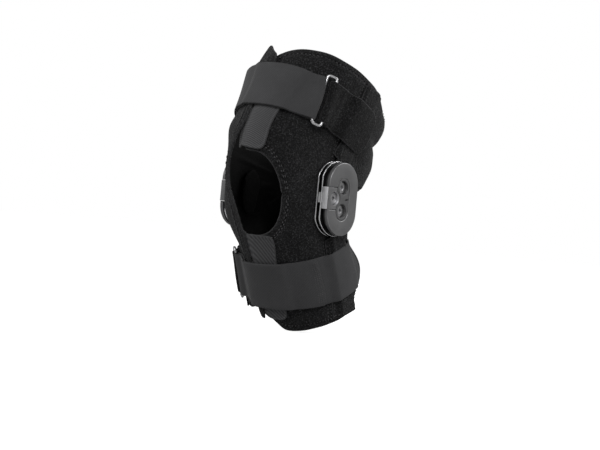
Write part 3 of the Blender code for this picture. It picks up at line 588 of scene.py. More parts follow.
def hem_distance(net, loop, flat_rim):
    """Distance to the outline, leaving out the stretches that join on to another sheet."""
    closed = np.vstack([loop, loop[:1]])
    if flat_rim is None:
        return distance_to(net, closed)
    joined = flat_rim(closed)
    near = np.full(len(net), 1e9)
    for a, b, first, second in zip(closed[:-1], closed[1:], joined[:-1], joined[1:]):
        if not (first and second):
            near = np.minimum(near, distance_to(net, np.array([a, b])))
    return near


def thick_sheet(name, outer, inner, normal, faces, materials, square=None):
    """A closed sheet between two layers of points, with half-round rims."""
    count = len(outer)
    points = [outer, inner]
    skin = [tuple(face) for face in faces]
    lining = [tuple(i + count for i in face[::-1]) for face in faces]
    walls = []
    total = 2 * count
    for rim in rim_loops(faces):
        rim = np.array(rim)
        middle = (outer[rim] + inner[rim]) / 2
        half = np.linalg.norm(outer[rim] - inner[rim], axis=1, keepdims=True) / 2
        up = normal[rim]
        way = np.roll(middle, -1, axis=0) - np.roll(middle, 1, axis=0)
        away = np.cross(way, up)
        away /= np.linalg.norm(away, axis=1, keepdims=True) + 1e-9
        round_share = 1.0 if square is None else 1.0 - square[rim][:, None]
        rows = [rim]
        for k in range(1, RIM_STEPS):
            turn = math.pi * k / RIM_STEPS
            spoke = away * math.sin(turn) * round_share + up * math.cos(turn)
            points.append(middle + half * spoke)
            rows.append(np.arange(total, total + len(rim)))
            total += len(rim)
        rows.append(rim + count)
        for upper, lower in zip(rows, rows[1:]):
            after_upper, after_lower = np.roll(upper, -1), np.roll(lower, -1)
            walls += zip(upper.tolist(), lower.tolist(), after_lower.tolist(), after_upper.tolist())
    marks = [0] * len(skin) + [1] * len(lining) + [2] * len(walls)
    return mesh_piece(name, np.vstack(points), skin + lining + walls, materials, marks)


STITCH = 2.2
STITCH_GAP = 1.5
STITCH_WIDTH = 0.95
STITCH_RISE = 0.3
STITCH_DIP = 0.15
OPENING_ROWS = (4.2, 5.9)
HEM_ROW = 5.4
FRONT_ROW = 5.6
SEAM_ROWS = (-2.4, 2.0)
POCKET_ROW = 2.6


def add_stitches(points, faces, line, height):
    """A row of raised stitches along a (phi, s) line; height gives the cloth's h there."""
    spots = resample(line, (STITCH + STITCH_GAP) / 2)
    for a, b in zip(spots[0:-1:2], spots[1::2]):
        start = limb(*a, height(*a))
        end = limb(*b, height(*b))
        out = limb_axes(*((a + b) / 2), height(*a))[2]
        way = end - start
        side = np.cross(out, way)
        side /= np.linalg.norm(side) + 1e-9
        spokes = (side * STITCH_WIDTH / 2, out * STITCH_RISE, -side * STITCH_WIDTH / 2, -out * STITCH_RISE)
        base = len(points)
        points.append(start - out * STITCH_DIP)
        points += [start + way * share + spoke for share in (0.25, 0.75) for spoke in spokes]
        points.append(end - out * STITCH_DIP)
        for k in range(4):
            n = (k + 1) % 4
            faces.append((base, base + 1 + n, base + 1 + k))
            faces.append((base + 1 + k, base + 1 + n, base + 5 + n, base + 5 + k))
            faces.append((base + 5 + k, base + 5 + n, base + 9))


def wire_loop(name, path, radius, material, sides=16):
    """A closed round wire along points in millimetres."""
    way = np.roll(path, -1, axis=0) - np.roll(path, 1, axis=0)
    way /= np.linalg.norm(way, axis=1, keepdims=True)
    lift = np.cross(way[0], (0.3, 0.5, 0.8))
    rings = []
    for point, direction in zip(path, way):
        lift = lift - direction * (lift @ direction)
        lift /= np.linalg.norm(lift)
        side = np.cross(direction, lift)
        turns = np.linspace(0, 2 * math.pi, sides, endpoint=False)
        rings.append([point + radius * (lift * math.cos(t) + side * math.sin(t)) for t in turns])
    points = np.array(rings).reshape(-1, 3)
    faces = []
    for i in range(len(path)):
        j = (i + 1) % len(path)
        for k in range(sides):
            n = (k + 1) % sides
            faces.append((i * sides + k, i * sides + n, j * sides + n, j * sides + k))
    return point_out(mesh_piece(name, points, faces, [material], sharp=60))


# ---- the wrap -----------------------------------------------------------------------------

OPENING_CENTRE = (5.0, -2.5)
OPENING_HALF = (35.5, 26.5)
INNER_EDGE = (
    (358.2, 117), (357, 100), (355.6, 80), (355, 62), (354, 45), (347, 31), (340.5, 20), (339.5, 12),
    (343, 2), (350, -8), (354, -18), (356, -30), (355.5, -44), (356, -60), (356.5, -85), (356.5, -104),
)
TOP_RIM = (
    (-3.4, 125), (4, 130), (15, 133), (30, 134), (44, 134), (58, 132.5), (72, 131.5), (84, 130),
    (98, 128),
)
TOP_BACK = (
    (112, 124), (130, 119), (155, 117), (180, 117), (210, 118), (238, 122), (252, 127), (268, 128.5),
    (284, 127), (300, 123), (320, 121.5), (334, 122),
)
LOW_RIM = (
    (-1, -115), (2, -118), (7, -123), (13, -128), (20, -130), (35, -130), (52, -128.5), (72, -127.5),
    (90, -127.5),
)
LOW_BACK = (
    (101, -126), (110, -121), (120, -113.5), (133, -109.5), (150, -108), (180, -107.5), (215, -110),
    (240, -119), (254, -125.5), (268, -127), (280, -124.5), (289, -117.5), (299, -112.5),
    (325, -108), (340, -108), (348, -109),
)
BACK_CUT_TOP = (
    (118, 0), (119, 14), (126, 26), (138, 33), (158, 36), (180, 37), (202, 36), (214, 32), (222, 22),
    (225.5, 10), (226, 0),
)
BACK_CUT_LOW = (
    (118, 0), (118, -18), (121, -34), (130, -46), (150, -53), (180, -55), (203, -53), (218, -42),
    (225, -26), (226, 0),
)
CLOSURE_TOP = ((-1.0, 24.6), (-3.2, 30), (-3.8, 60), (-3.4, 122))
CLOSURE_LOW = ((0.0, -28.6), (-2.6, -34), (-3.2, -60), (-2.6, -104), (-1.4, -114))
FLAP_TOP = ((334, 122), (344, 138.5), (346, 138), (351.5, 132), (357.6, 125.5), (358.2, 119))
FLAP_LOW = ((348, -109), (352.5, -112.5), (355.6, -117), (357.2, -117.4), (357.4, -113), (356.8, -106))
EDGE_STEP = 1.6
FLAP_STEP = 1.4


def opening_edge(start, end):
    """The kneecap opening's edge, between two angles round its own centre."""
    way = math.copysign(1, end - start)
    turns = np.radians(np.arange(start, end + way, 3 * way))
    return np.array(OPENING_CENTRE) + np.stack([np.cos(turns), np.sin(turns)], -1) * OPENING_HALF


def opening_at_knee():
    """Angle round the limb at which the opening's outer edge crosses the knee line."""
    across = math.cos(math.asin(-OPENING_CENTRE[1] / OPENING_HALF[1]))
    return OPENING_CENTRE[0] + OPENING_HALF[0] * across


def level_line(start, end):
    """A stretch of the knee line."""
    count = max(2, int(abs(end - start) / EDGE_STEP))
    return np.stack([np.linspace(start, end, count), np.zeros(count)], -1)


def edge_part(low, high):
    """The stretch of the inner panel's front edge between two heights."""
    curve = curve_through(INNER_EDGE)
    return curve[(curve[:, 1] >= low) & (curve[:, 1] <= high)]


def edge_angle(s):
    """Angle of the inner panel's front edge at a height."""
    curve = curve_through(INNER_EDGE)
    return np.interp(s, curve[::-1, 1], curve[::-1, 0])


def join(*parts):
    """One closed loop from stretches, without doubled points."""
    loop = np.vstack(parts)
    keep = np.linalg.norm(loop - np.roll(loop, 1, axis=0), axis=1) > 0.35
    return loop[keep]


def upper_loop():
    """Outline of the wrap above the knee line, from the opening round the back and over the top."""
    opening = opening_edge(0, 95)
    opening = opening[opening[:, 1] > 0.3]
    return join(
        level_line(opening_at_knee(), BACK_CUT_TOP[0][0])[:-1],
        curve_through(BACK_CUT_TOP)[:-1],
        level_line(BACK_CUT_TOP[-1][0], edge_angle(0.0))[:-1],
        edge_part(0.4, INNER_EDGE[0][1])[::-1],
        resample(np.array(FLAP_TOP), FLAP_STEP)[::-1],
        curve_through([*TOP_RIM, *TOP_BACK])[::-1],
        resample(np.array(CLOSURE_TOP), EDGE_STEP)[::-1],
        opening[::-1],
    )


def lower_loop():
    """Outline of the wrap below the knee line, the other way round."""
    opening = opening_edge(0, -95)
    opening = opening[opening[:, 1] < -0.3]
    return join(
        level_line(opening_at_knee(), BACK_CUT_LOW[0][0])[::-1],
        opening,
        resample(np.array(CLOSURE_LOW), EDGE_STEP),
        curve_through([*LOW_RIM, *LOW_BACK]),
        resample(np.array(FLAP_LOW), FLAP_STEP),
        edge_part(INNER_EDGE[-1][1], -0.4)[::-1],
        level_line(BACK_CUT_LOW[-1][0], edge_angle(0.0))[::-1],
        curve_through(BACK_CUT_LOW)[::-1][1:-1],
    )


def at_knee_line(net):
    """Points where the two halves of the wrap join, which have no hem."""
    return np.abs(net[:, 1]) < 0.02


def inner_edge_lift(phi, s):
    """The inner panel's front edge curls up a little over the closure tabs."""
    edge = edge_angle(s)
    near = smooth(1 - (edge - phi) / 14.0) * (phi > 300) * (phi < edge + 2)
    return 4.4 * near


def back_flare(phi, s):
    """How far the back of the wrap stands off the leg.

    The thigh part's lower corners and top edge flare out, with a dip between them under the strap.
    The calf swells behind, and so do the sides just below the knee.
    """
    back = bump(np.abs(wrapped(phi)), 138, 38)
    corner = 4.4 * smooth((84 - s) / 24) * smooth(s / 12)
    swell = 4.8 * bump(s, 108, 20) - 3.0 * bump(s, 86, 9)
    calf = 6.0 * bump(s, -88, 34)
    below = 5.0 * bump(np.abs(wrapped(phi)), 122, 26) * bump(s, -36, 26)
    return back * (corner + swell + calf) + below


def front_shape(phi, s):
    """The inner front swells above the knee and draws in beside and below it."""
    inner = wrapped(phi)
    swell = 3.5 * bump(inner, -50, 28) * bump(s, 46, 22)
    waist = 2.5 * bump(inner, -58, 34) * bump(s, 10, 20) + 2.5 * bump(inner, -62, 36) * bump(s, -34, 24)
    return swell - waist


def lining_folds(phi, s):
    """Soft folds of the lining on the inner side, seen through the kneecap opening."""
    inner = wrapped(phi)
    curl = np.hypot(inner + 112, s * 1.1 - 2)
    ring = bump(curl, 15, 6) * 4.0
    crease = bump(s - 0.35 * (inner + 100), -24, 7) * bump(inner, -92, 40) * 2.2
    ridge = bump(s + 0.15 * (inner + 90), 31, 3.2) * bump(inner, -92, 44) * 2.6
    return ring + crease + ridge


def wrap_inner(phi, s, edge):
    shape = back_flare(phi, s) + front_shape(phi, s) + inner_edge_lift(phi, s)
    return shape + 0.6 * ripple(phi, s, 0.7) - 0.5 * lining_folds(phi, s)


def wrap_thickness(phi, s, edge):
    """Neoprene that thins towards its edges, with a sewn groove beside them."""
    seam = distance_from_seams(phi, s)
    body = WRAP * (0.6 + 0.4 * smooth(edge / 7.5))
    groove = 1.15 * bump(edge, 5.0, 1.7) + 1.0 * bump(seam, 0, 1.8)
    return body - groove + 0.25 * ripple(phi, s) + 0.5 * lining_folds(phi, s)


SIDE_SEAM_TOP = ((86.5, 128), (86, 100), (87, 60), (88, 40))
SIDE_SEAM_LOW = ((84, -42), (82, -60), (74, -95), (71, -126))
HEM_RINGS = (1.1, 2.4, 3.6, 4.6, 5.6, 6.6, 7.8)


def distance_from_seams(phi, s):
    net = np.stack([np.atleast_1d(phi), np.atleast_1d(s)], -1)
    near = np.full(len(net), 1e9)
    for seam in (SIDE_SEAM_TOP, SIDE_SEAM_LOW):
        near = np.minimum(near, distance_to(net, resample(np.array(seam, float), 4)))
    return near


def make_wrap():
    # The third material, on the rounded rims, is a lighter cloth: a painted highlight along the edges.
    materials = [WRAP_CLOTH, LINING, RIM_HIGHLIGHT_CLOTH]
    spacing = 2.4
    halves = []
    for name, loop, nodes in (
        ("upper_wrap", upper_loop(), ("thigh_lateral_panel", "thigh_medial_panel", "thigh_back_panel")),
        ("lower_wrap", lower_loop(), ("calf_lateral_panel", "calf_medial_panel", "calf_back_panel")),
    ):
        loop = loop if turning(loop) > 0 else loop[::-1]
        item = cloth_sheet(
            name, loop, wrap_inner, wrap_thickness, materials, spacing, HEM_RINGS, at_knee_line
        )
        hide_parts(*nodes)
        halves.append(item)
    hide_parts("knee_lateral_panel", "knee_medial_panel")
    bend(halves[0], 1)
    bend(halves[1], -1)


def bend(item, half):
    """Bake the piece's placement into its mesh, the same way for the thigh cloth (half 1) and the calf
    cloth (half -1).
    """
    if half > 0:
        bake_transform(item)
    else:
        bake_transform(item)


make_wrap()

# ---- general sheets and slabs ---------------------------------------------------------------


STRAP_WIDTH = 48.6
ANCHOR_WIDTH = 46.6
RIBBON_COLUMNS = 13


def strap_ridge(phi):
    """Underside of a strap above the inside of the wrap: it rides over tabs and pockets."""
    tab = 1 - smooth((np.abs(phi - 6) - 19) / 8)
    pocket = 1 - smooth((np.abs(np.abs(wrapped(phi)) - 95.5) - 11) / 9)
    return WRAP + GAP + tab * 2.3 + pocket * 5.0


def thigh_centre(phi):
    """Height of the thigh strap's middle line: it rises in front and sinks on the outer side."""
    front = np.maximum(0.0, np.cos(np.radians(phi + 30))) ** 2
    return 84 + 6.5 * front - 5.0 * smooth((phi - 60) / 45)


def calf_centre(phi):
    return -80.5 + 3.5 * smooth((phi - 75) / 40)


def ribbon_ticks(length, rounds):
    """Places along a ribbon: its own rows, even steps, and close ones where an end is rounded."""
    total = length[-1]
    ticks = [length, np.arange(0, total, 2.4)]
    near = 1 - np.cos(np.linspace(0, math.pi / 2, 8))
    ticks += [near * rounds[0], total - near * rounds[1]]
    ticks = np.unique(np.round(np.concatenate(ticks), 3))
    return ticks[np.concatenate([[True], np.diff(ticks) > 0.12])]


def ribbon(name, path, centre, width, half, materials, rounds=(0.0, 0.0), widen=None, skew=None):
    """A band of cloth along rows of (phi, h), with rounded edges and corners.

    rounds are the corner radii at its start and end. widen and skew are functions of phi: the
    change of the half width, and the angle by which the upper edge runs ahead of the middle.
    """
    path = np.array(path, float)
    middle = limb(path[:, 0], centre(path[:, 0]), path[:, 1])
    length = np.concatenate([[0], np.cumsum(np.linalg.norm(np.diff(middle, axis=0), axis=1))])
    ticks = ribbon_ticks(length, rounds)
    phi = np.interp(ticks, length, path[:, 0])
    h = np.interp(ticks, length, path[:, 1])[:, None]

    def corner(distance, radius):
        gap = np.clip(radius - distance, 0, radius)
        return radius - np.sqrt(np.maximum(radius**2 - gap**2, 0))

    reach = width / 2 - corner(ticks, rounds[0]) - corner(length[-1] - ticks, rounds[1])
    if widen is not None:
        reach = reach + widen(phi)
    share = np.linspace(-1, 1, RIBBON_COLUMNS)
    s = centre(phi)[:, None] + reach[:, None] * share
    phi = phi[:, None]
    sag = 0.18 * np.sin(phi / 7 + 2.2 * share) * (1 - 0.3 * share**2)
    if skew is not None:
        phi = phi + skew(phi) * share
    grid = limb(phi, s, h + sag + np.maximum(back_flare(phi, s), 0.0))
    normal = np.cross(np.gradient(grid, axis=0), np.gradient(grid, axis=1))
    normal /= np.linalg.norm(normal, axis=-1, keepdims=True)
    number = np.arange(grid[..., 0].size).reshape(grid.shape[:2])
    corners = [number[:-1, :-1], number[1:, :-1], number[1:, 1:], number[:-1, 1:]]
    faces = np.stack(corners, -1).reshape(-1, 4).tolist()
    lift = (normal * half).reshape(-1, 3)
    grid = grid.reshape(-1, 3)
    return thick_sheet(name, grid + lift, grid - lift, normal.reshape(-1, 3), faces, materials)


def arc(centre, radius, start, end, step=6.0):
    count = max(2, int(round(abs(end - start) / step)))
    turns = np.radians(np.linspace(start, end, count + 1))
    return [(centre[0] + radius * math.cos(t), centre[1] + radius * math.sin(t)) for t in turns]


def disc(centre, radius, step=10.0):
    return arc(centre, radius, 0, 360, step)[:-1]


def inset_loop(loop, distance):
    """A corner-true inset of a loop whose material lies on its left."""
    way = np.roll(loop, -1, axis=0) - loop
    way /= np.linalg.norm(way, axis=1, keepdims=True)
    left = np.stack([-way[:, 1], way[:, 0]], -1)
    before = np.roll(left, 1, axis=0)
    mitre = left + before
    mitre /= np.maximum(np.sum(mitre * left, axis=1, keepdims=True), 0.35)
    return loop + mitre * distance


def slab(loops, layer, bevel=0.3, steps=3):
    """Points (distance, y, z), faces and marks (0 face, 1 edge, 2 bevel) of a flat plate."""
    loops = [tidy_loop(loop, hole=i > 0) for i, loop in enumerate(loops)]
    low, high = layer
    turns = [math.pi / 2 * k / steps for k in range(steps + 1)]
    rows = [(low + bevel * (1 - math.cos(t)), bevel * (1 - math.sin(t))) for t in turns]
    rows += [(high - (x - low), inset) for x, inset in rows[::-1]]
    points, faces, marks = [], [], []
    caps = [[], []]
    for loop in loops:
        rings = []
        for x, inset in rows:
            ring = inset_loop(loop, inset)
            rings.append(len(points) + np.arange(len(ring)))
            points += [(x, y, z) for y, z in ring]
        for r, (lower, upper) in enumerate(zip(rings, rings[1:])):
            straight = r == steps
            for i in range(len(loop)):
                j = (i + 1) % len(loop)
                faces.append((lower[i], lower[j], upper[j], upper[i]))
                marks.append(1 if straight else 2)
        caps[0].append(rings[0])
        caps[1].append(rings[-1])
    flat = np.array(points)[np.concatenate(caps[0])][:, 1:]
    edges, base = [], 0
    for ring in caps[0]:
        edges += [(base + i, base + (i + 1) % len(ring)) for i in range(len(ring))]
        base += len(ring)
    out = delaunay_2d_cdt([Vector(p) for p in flat.tolist()], edges, [], 0, 1e-7)
    origin = [o[0] for o in out[3]]
    triangles = [f for f in out[2] if len(f) == 3]
    spots = np.array([(p.x, p.y) for p in out[0]])
    centres = spots[np.array(triangles)].mean(1)
    hit = np.zeros(len(triangles), bool)
    for ring in caps[0]:
        hit ^= inside(centres, np.array(points)[ring][:, 1:])
    lower_ids = np.concatenate(caps[0])
    upper_ids = np.concatenate(caps[1])
    for triangle, keep in zip(triangles, hit):
        if keep:
            a, b, c = (origin[i] for i in triangle)
            faces.append((upper_ids[a], upper_ids[b], upper_ids[c]))
            faces.append((lower_ids[c], lower_ids[b], lower_ids[a]))
            marks += [0, 0]
    return points, faces, marks


def hinge_piece(name, side, shells, materials):
    """A piece from slabs; side is 1 for the outer hinge and -1 for the inner one."""
    points, faces, marks = [], [], []
    for shell_points, shell_faces, shell_marks in shells:
        base = len(points)
        points += [(side * x, y, z) for x, y, z in shell_points]
        faces += [tuple(int(i) + base for i in face) for face in shell_faces]
        marks += shell_marks
    if side < 0:
        faces = [face[::-1] for face in faces]
    return mesh_piece(name, np.array(points) + KNEE, faces, materials, marks, sharp=32)


# ---- hinges ---------------------------------------------------------------------------------
# A layer is (from, to) along x from the knee's middle plane; outlines are (y, z) from the knee
# centre, as they look on the outer hinge.

INNER_PLATE = (57.6, 59.2)
OUTER_PLATE = (63.0, 64.6)
SPACER = (64.9, 68.6)
COVER = (68.9, 73.0)
BRIDGE = (64.9, 72.7)
TONGUE = (60.1, 65.2)
PLATE_FRONT = -24.5
TONGUE_HALF = 5.0
NOTCH = 11.3
LOBE = 10.0
INSERT_Y = -12.8
INSERT_HALF = 11.0
NOSE = 7.8
WELL_FLOOR = 67.2
WELL = 6.8
PIN = 3.0
PIN_HOLE = 3.25
HEAD = 5.9
SLIT = ((4.4, -0.9), (9.0, -0.5), (9.0, 0.6), (4.4, 0.2))


def plate_outline(half_width=24.5, corner=21.5, half_height=38.0):
    rise = half_height - corner
    radius = (half_width**2 + rise**2) / (2 * rise)
    spread = math.degrees(math.asin(half_width / radius))
    top = arc((0, half_height - radius), radius, 90 - spread, 90 + spread, 4)
    return [*top, *[(-y, -z) for y, z in top]]


def notched_outline(half_width, half_height):
    centre = half_height - half_width
    return [
        *arc((0, -centre), half_width, -180, 0, 5),
        *arc((0, centre), half_width, 0, 180, 5),
        (-half_width, NOTCH),
        *arc((0, PIVOT), LOBE, 180, 0, 8),
        *arc((0, -PIVOT), LOBE, 0, -180, 8),
        (-half_width, -NOTCH),
    ]


def bridge_outline():
    radius = LOBE - GAP
    bite = NOSE + GAP
    reach = math.degrees(math.acos((-radius - INSERT_Y) / bite))
    return [
        *arc((0, PIVOT), radius, 0, 180, 8),
        *arc((INSERT_Y, 0), bite, reach, -reach, 8),
        *arc((0, -PIVOT), radius, 180, 360, 8),
    ]


def insert_outline():
    reach = math.degrees(math.acos((-LOBE - INSERT_Y) / NOSE))
    return [
        (PLATE_FRONT, -INSERT_HALF), (-LOBE, -INSERT_HALF),
        *arc((INSERT_Y, 0), NOSE, -reach, reach, 8),
        (-LOBE, INSERT_HALF), (PLATE_FRONT, INSERT_HALF),
    ]


def well_floor(y, z, hole):
    """The thin floor of a screw well, with a hole for the shank."""
    return slab([disc((y, z), WELL + 0.2), disc((y, z), hole)], (BRIDGE[0], WELL_FLOOR), 0.1, 1)


def screw_shells(y, z, shank, shank_low):
    """Head with a chamfered rim and a hexagonal socket, over a plain shank."""
    seat = WELL_FLOOR + GAP
    top = seat + 2.8
    hexagon = arc((y, z), 2.4, 0, 360, 60)[:-1]
    return [
        slab([disc((y, z), HEAD), hexagon], (top - 1.8, top), 0.45),
        slab([disc((y, z), HEAD - 0.05)], (seat, top - 1.75), 0.1, 1),
        slab([disc((y, z), shank)], (shank_low, seat + 0.2), 0.1, 1),
    ]


def make_hinge(side, name):
    """All rigid pieces of one hinge; side is 1 for the outer hinge and -1 for the inner one."""

    def build(part, shells, looks, node, body="knee_hinges", slot=None):
        item = hinge_piece(f"{name}_{part}", side, shells, looks)
        finish(item, body, slot or part.split("_")[0], f"{name}_{node}")

    pivots = ((0, PIVOT), (0, -PIVOT))
    plate = [plate_outline(), *(disc(spot, PIN_HOLE) for spot in pivots)]
    plate_looks = [PLATE_FACE, PLATE_EDGE, PLATE_EDGE]
    for layer, part in ((INNER_PLATE, "inner_plate"), (OUTER_PLATE, "outer_plate")):
        build(f"{part}_metal", [slab(plate, layer, 0.35)], plate_looks, part, slot="plate")
    spacer = slab([notched_outline(20.5, 34)], SPACER, 0.3)
    build("spacer_body", [spacer], [SPACER_BLACK] * 3, "hinge_spacer")
    cover = slab([notched_outline(23.5, 37)], COVER, 0.7, 4)
    build("cover_body", [cover], [COVER_SATIN, COVER_SIDE, COVER_RIM], "hinge_cover")
    wells = [disc(spot, WELL) for spot in pivots]
    bridge = [slab([bridge_outline(), *wells, SLIT], BRIDGE, 0.35)]
    bridge += [well_floor(*spot, PIN_HOLE) for spot in pivots]
    build("bridge_body", bridge, [BRIDGE_SATIN, BRIDGE_SATIN, WELL_RIM], "pivot_bridge")
    tongue = [
        (PLATE_FRONT + 0.3, -TONGUE_HALF), (-13.2, -TONGUE_HALF),
        (-13.2, TONGUE_HALF), (PLATE_FRONT + 0.3, TONGUE_HALF),
    ]
    insert = [
        slab([insert_outline(), disc((INSERT_Y, 0), WELL)], BRIDGE, 0.35),
        well_floor(INSERT_Y, 0, 2.0),
        slab([tongue], TONGUE, 0.2, 1),
    ]
    insert_looks = [INSERT_FACE, INSERT_BARE if side > 0 else INSERT_FACE, INSERT_FACE]
    build("insert_body", insert, insert_looks, "stop_insert", f"{name}_stop_insert")
    for place, spot in zip(("upper", "lower"), pivots):
        bolt = screw_shells(*spot, PIN, 57.9)
        build(f"{place}_pivot_bolt", bolt, [SCREW_STEEL] * 3, f"{place}_pivot_screw", slot="screw")
    bolt = screw_shells(INSERT_Y, 0, 1.7, 66.5)
    screw_body = f"{name}_insert_screw"
    build("insert_bolt", bolt, [SCREW_STEEL] * 3, "insert_screw", screw_body, slot="screw")
    for part in ("thigh", "calf"):
        dress_node(f"{name}_{part}_upright", UPRIGHT_ALLOY)
    for place in ("upper", "lower"):
        for layer in ("inner", "outer"):
            dress_node(f"{name}_{place}_{layer}_washer", WASHER_NYLON)


def dress_node(node, material):
    """A CAD piece shown as it is, with its own finish and a fine bevel."""
    item = frame["nodes"][node]
    item.data.materials.clear()
    item.data.materials.append(material)
    edge = item.modifiers.new("edge_break", "BEVEL")
    edge.width = 0.25 * MM
    edge.segments = 2
    edge.limit_method = "ANGLE"
    edge.angle_limit = math.radians(50)


PUFF_FRAMES = 20
PUFF_LIMIT = 0.0009


def make_condyle_pad(name):
    """A stuffed cushion under the hinge, puffed up by a short cloth simulation."""
    source = frame["nodes"][name]
    item = put(f"{name}_cushion", source.data.copy())
    item.matrix_world = source.matrix_world.copy()
    item.data.materials.clear()
    item.data.materials.append(PAD_CLOTH)
    bpy.context.view_layer.update()
    remesh = item.modifiers.new("remesh", "REMESH")
    remesh.mode = "VOXEL"
    remesh.voxel_size = 0.003
    apply_modifiers(item)
    puff(item)
    smoothing = item.modifiers.new("round", "SUBSURF")
    smoothing.levels = 1
    smoothing.render_levels = 1
    apply_modifiers(item)
    item.data.shade_smooth()
    finish(item, "knee_hinges", "pad", name)


def apply_modifiers(item):
    graph = bpy.context.evaluated_depsgraph_get()
    mesh = bpy.data.meshes.new_from_object(item.evaluated_get(graph))
    item.modifiers.clear()
    item.data = mesh


def puff(item):
    """A few frames of cloth under pressure, with the movement kept under a millimetre."""
    rest = np.array([v.co[:] for v in item.data.vertices])
    cloth = item.modifiers.new("cloth", "CLOTH")
    settings = cloth.settings
    settings.use_pressure = True
    settings.uniform_pressure_force = 4.0
    settings.effector_weights.gravity = 0.0
    settings.quality = 6
    cloth.point_cache.frame_start = 1
    cloth.point_cache.frame_end = PUFF_FRAMES
    scene = bpy.context.scene
    for step in range(1, PUFF_FRAMES + 1):
        scene.frame_set(step)
    apply_modifiers(item)
    mesh = item.data
    moved = np.array([v.co[:] for v in mesh.vertices]) - rest
    size = np.linalg.norm(moved, axis=1, keepdims=True)
    moved *= np.minimum(1.0, PUFF_LIMIT / np.maximum(size, 1e-9))
    mesh.vertices.foreach_set("co", (rest + moved).ravel())
    mesh.update()
    scene.frame_set(1)


# ---- pockets, tabs and straps -----------------------------------------------------------------


POCKET_END = 126.0
POCKETS = {
    1: (
        (87.5, 41), (86.6, 60), (86.2, 90), (86.2, 122), (90, 124.5), (103, 124), (106.5, 120.5),
        (106, 90), (104.5, 62), (108, 50), (108, 43), (105, 40.5),
    ),
    -1: (
        (85.5, -40), (82, -56), (78, -85), (76, -119), (79, -123.5), (102, -123), (106, -119),
        (109, -85), (111, -60), (110, -44), (107, -40),
    ),
}
UPRIGHT_INNER = 60.1
UPRIGHT_OUTER = 62.1
UPRIGHT_HALF = 9.2
UPRIGHT_SLOPE = 4.8


def bar_cover(phi, s, half):
    """Height of a pocket above the inside of the wrap: flat beside the upright, raised over it."""
    point = limb(phi, s, WRAP) - KNEE
    y, z = point[..., 1], point[..., 2] * half
    across = y * math.cos(REST_TILT) - (z - PIVOT) * math.sin(REST_TILT)
    station = z / math.cos(REST_TILT / 2) * half
    rest = section_size(HALF_WIDTH, station) + WRAP + 1.2
    lift = np.maximum(0, rest - UPRIGHT_INNER) * smooth((np.abs(z) - 34) / 12)
    shape = np.abs(np.sin(np.radians(phi))) ** SECTION_POWER
    raised = (UPRIGHT_OUTER + lift + 0.5) / shape - section_size(HALF_WIDTH, s)
    beside = smooth((np.abs(across) - UPRIGHT_HALF) / UPRIGHT_SLOPE)
    flat = WRAP + 0.12
    closed_end = 0.25 + 0.75 * smooth((POCKET_END - s * half) / 3)
    return flat + np.maximum(raised - flat, 0) * (1 - beside) * closed_end


def pocket_loop(half, side):
    loop = curve_through(POCKETS[half], 1.6, closed=True)
    if side < 0:
        loop[:, 0] = 360 - loop[:, 0]
    return tidy_loop(loop, hole=False)


def make_pocket(name, side, half, body):
    def inner(phi, s, edge):
        return bar_cover(phi, s, half)

    def thickness(phi, s, edge):
        return 1.0 + 0.25 * smooth(edge / 2) - 0.35 * bump(edge, 2.6, 1.0) + 0.1 * ripple(phi, s, 3)

    spacing = 2.2
    # The third material, on the pocket's rounded edges, is a lighter cloth: a painted highlight along
    # them.
    looks = [WRAP_CLOTH, WRAP_CLOTH, POCKET_RIM_HIGHLIGHT]
    rings = (0.9, 1.9, 2.6, 3.4, 4.6)
    loop = pocket_loop(half, side)
    item = cloth_sheet(f"{name}_cloth", loop, inner, thickness, looks, spacing, rings)
    finish(item, body, "pocket", name)


def under_edge(phi):
    """A closure tab dives under the inner panel's front edge."""
    return 1.6 * smooth((1.5 - phi) / 5.2) + 2.1 * smooth((-4.0 - phi) / 5.0)


UPPER_TAB = (
    (-11, 29), (-6, 26.8), (2, 25.0), (10, 24.4), (15.5, 24.8), (18.6, 28.5), (20, 40), (21.6, 58),
    (21, 80), (20.5, 101), (17, 104), (0, 104), (-10, 103), (-11, 75),
)
LOWER_TAB = (
    (-9.5, -29), (0, -27.6), (12, -28), (21, -28.6), (24.8, -31.5), (24, -42), (21.4, -56),
    (20.2, -80), (20, -106), (18.5, -115), (12, -117.6), (4, -117), (-1, -114), (-8, -108), (-9, -70),
)


def make_tab(name, corners, body, node):
    loop = tidy_loop(curve_through(corners, 1.5, closed=True), hole=False)

    def inner(phi, s, edge):
        lift = 0.5 * bump(edge, 0, 3.0) * smooth((phi - 8) / 8)
        return WRAP + GAP - under_edge(phi) + 0.4 * ripple(phi, s, 0.7) + lift

    def thickness(phi, s, edge):
        return 1.7 - 0.3 * bump(edge, 2.2, 0.9)

    looks = [TAB_TWILL, LINING, STRAP_EDGE]
    item = cloth_sheet(name, loop, inner, thickness, looks, 2.4, rings=(0.8, 1.6, 2.2, 3.0, 4.4))
    finish(item, body, "tab", node)


# Ring values by side: 1 is the thigh strap's ring on the outer front, -1 the calf strap's on the
# inner front. The skew and the turn lean the thigh ring, and the gather narrows its strap.
RING_HEIGHT = 8.4
RING_BAR = 5.2
RING_HALF_LENGTH = 28.5
RING_CORNER = 3.0
WIRE = 1.45
WIRE_PLAY = 0.15
RING_SINK = {1: 0.2, -1: 2.9}
RING_MIDDLE = {1: 54.0, -1: 60.0}
RING_SKEW = {1: 3.6, -1: 0.0}
RING_TURN = {1: 9.0, -1: 0.0}
RING_GATHER = {1: 2.2, -1: 0.8}


def joint_place(name):
    joint = next(j for j in frame["joints"] if j["name"] == name)
    return np.array(joint["pos_m"]) / MM, np.array(joint["axis"], float)


def at_centre(phi, centre):
    """A place on the strap's middle line, at the height of the rings."""
    return phi, float(centre(np.array(phi))), RING_HEIGHT


def bar_angles(side, centre):
    """Angles of a ring's front and back bars, signed like the side they are on."""
    middle = side * RING_MIDDLE[side]
    spread = side * RING_BAR / round_limb(*at_centre(middle, centre))
    return middle - spread, middle + spread


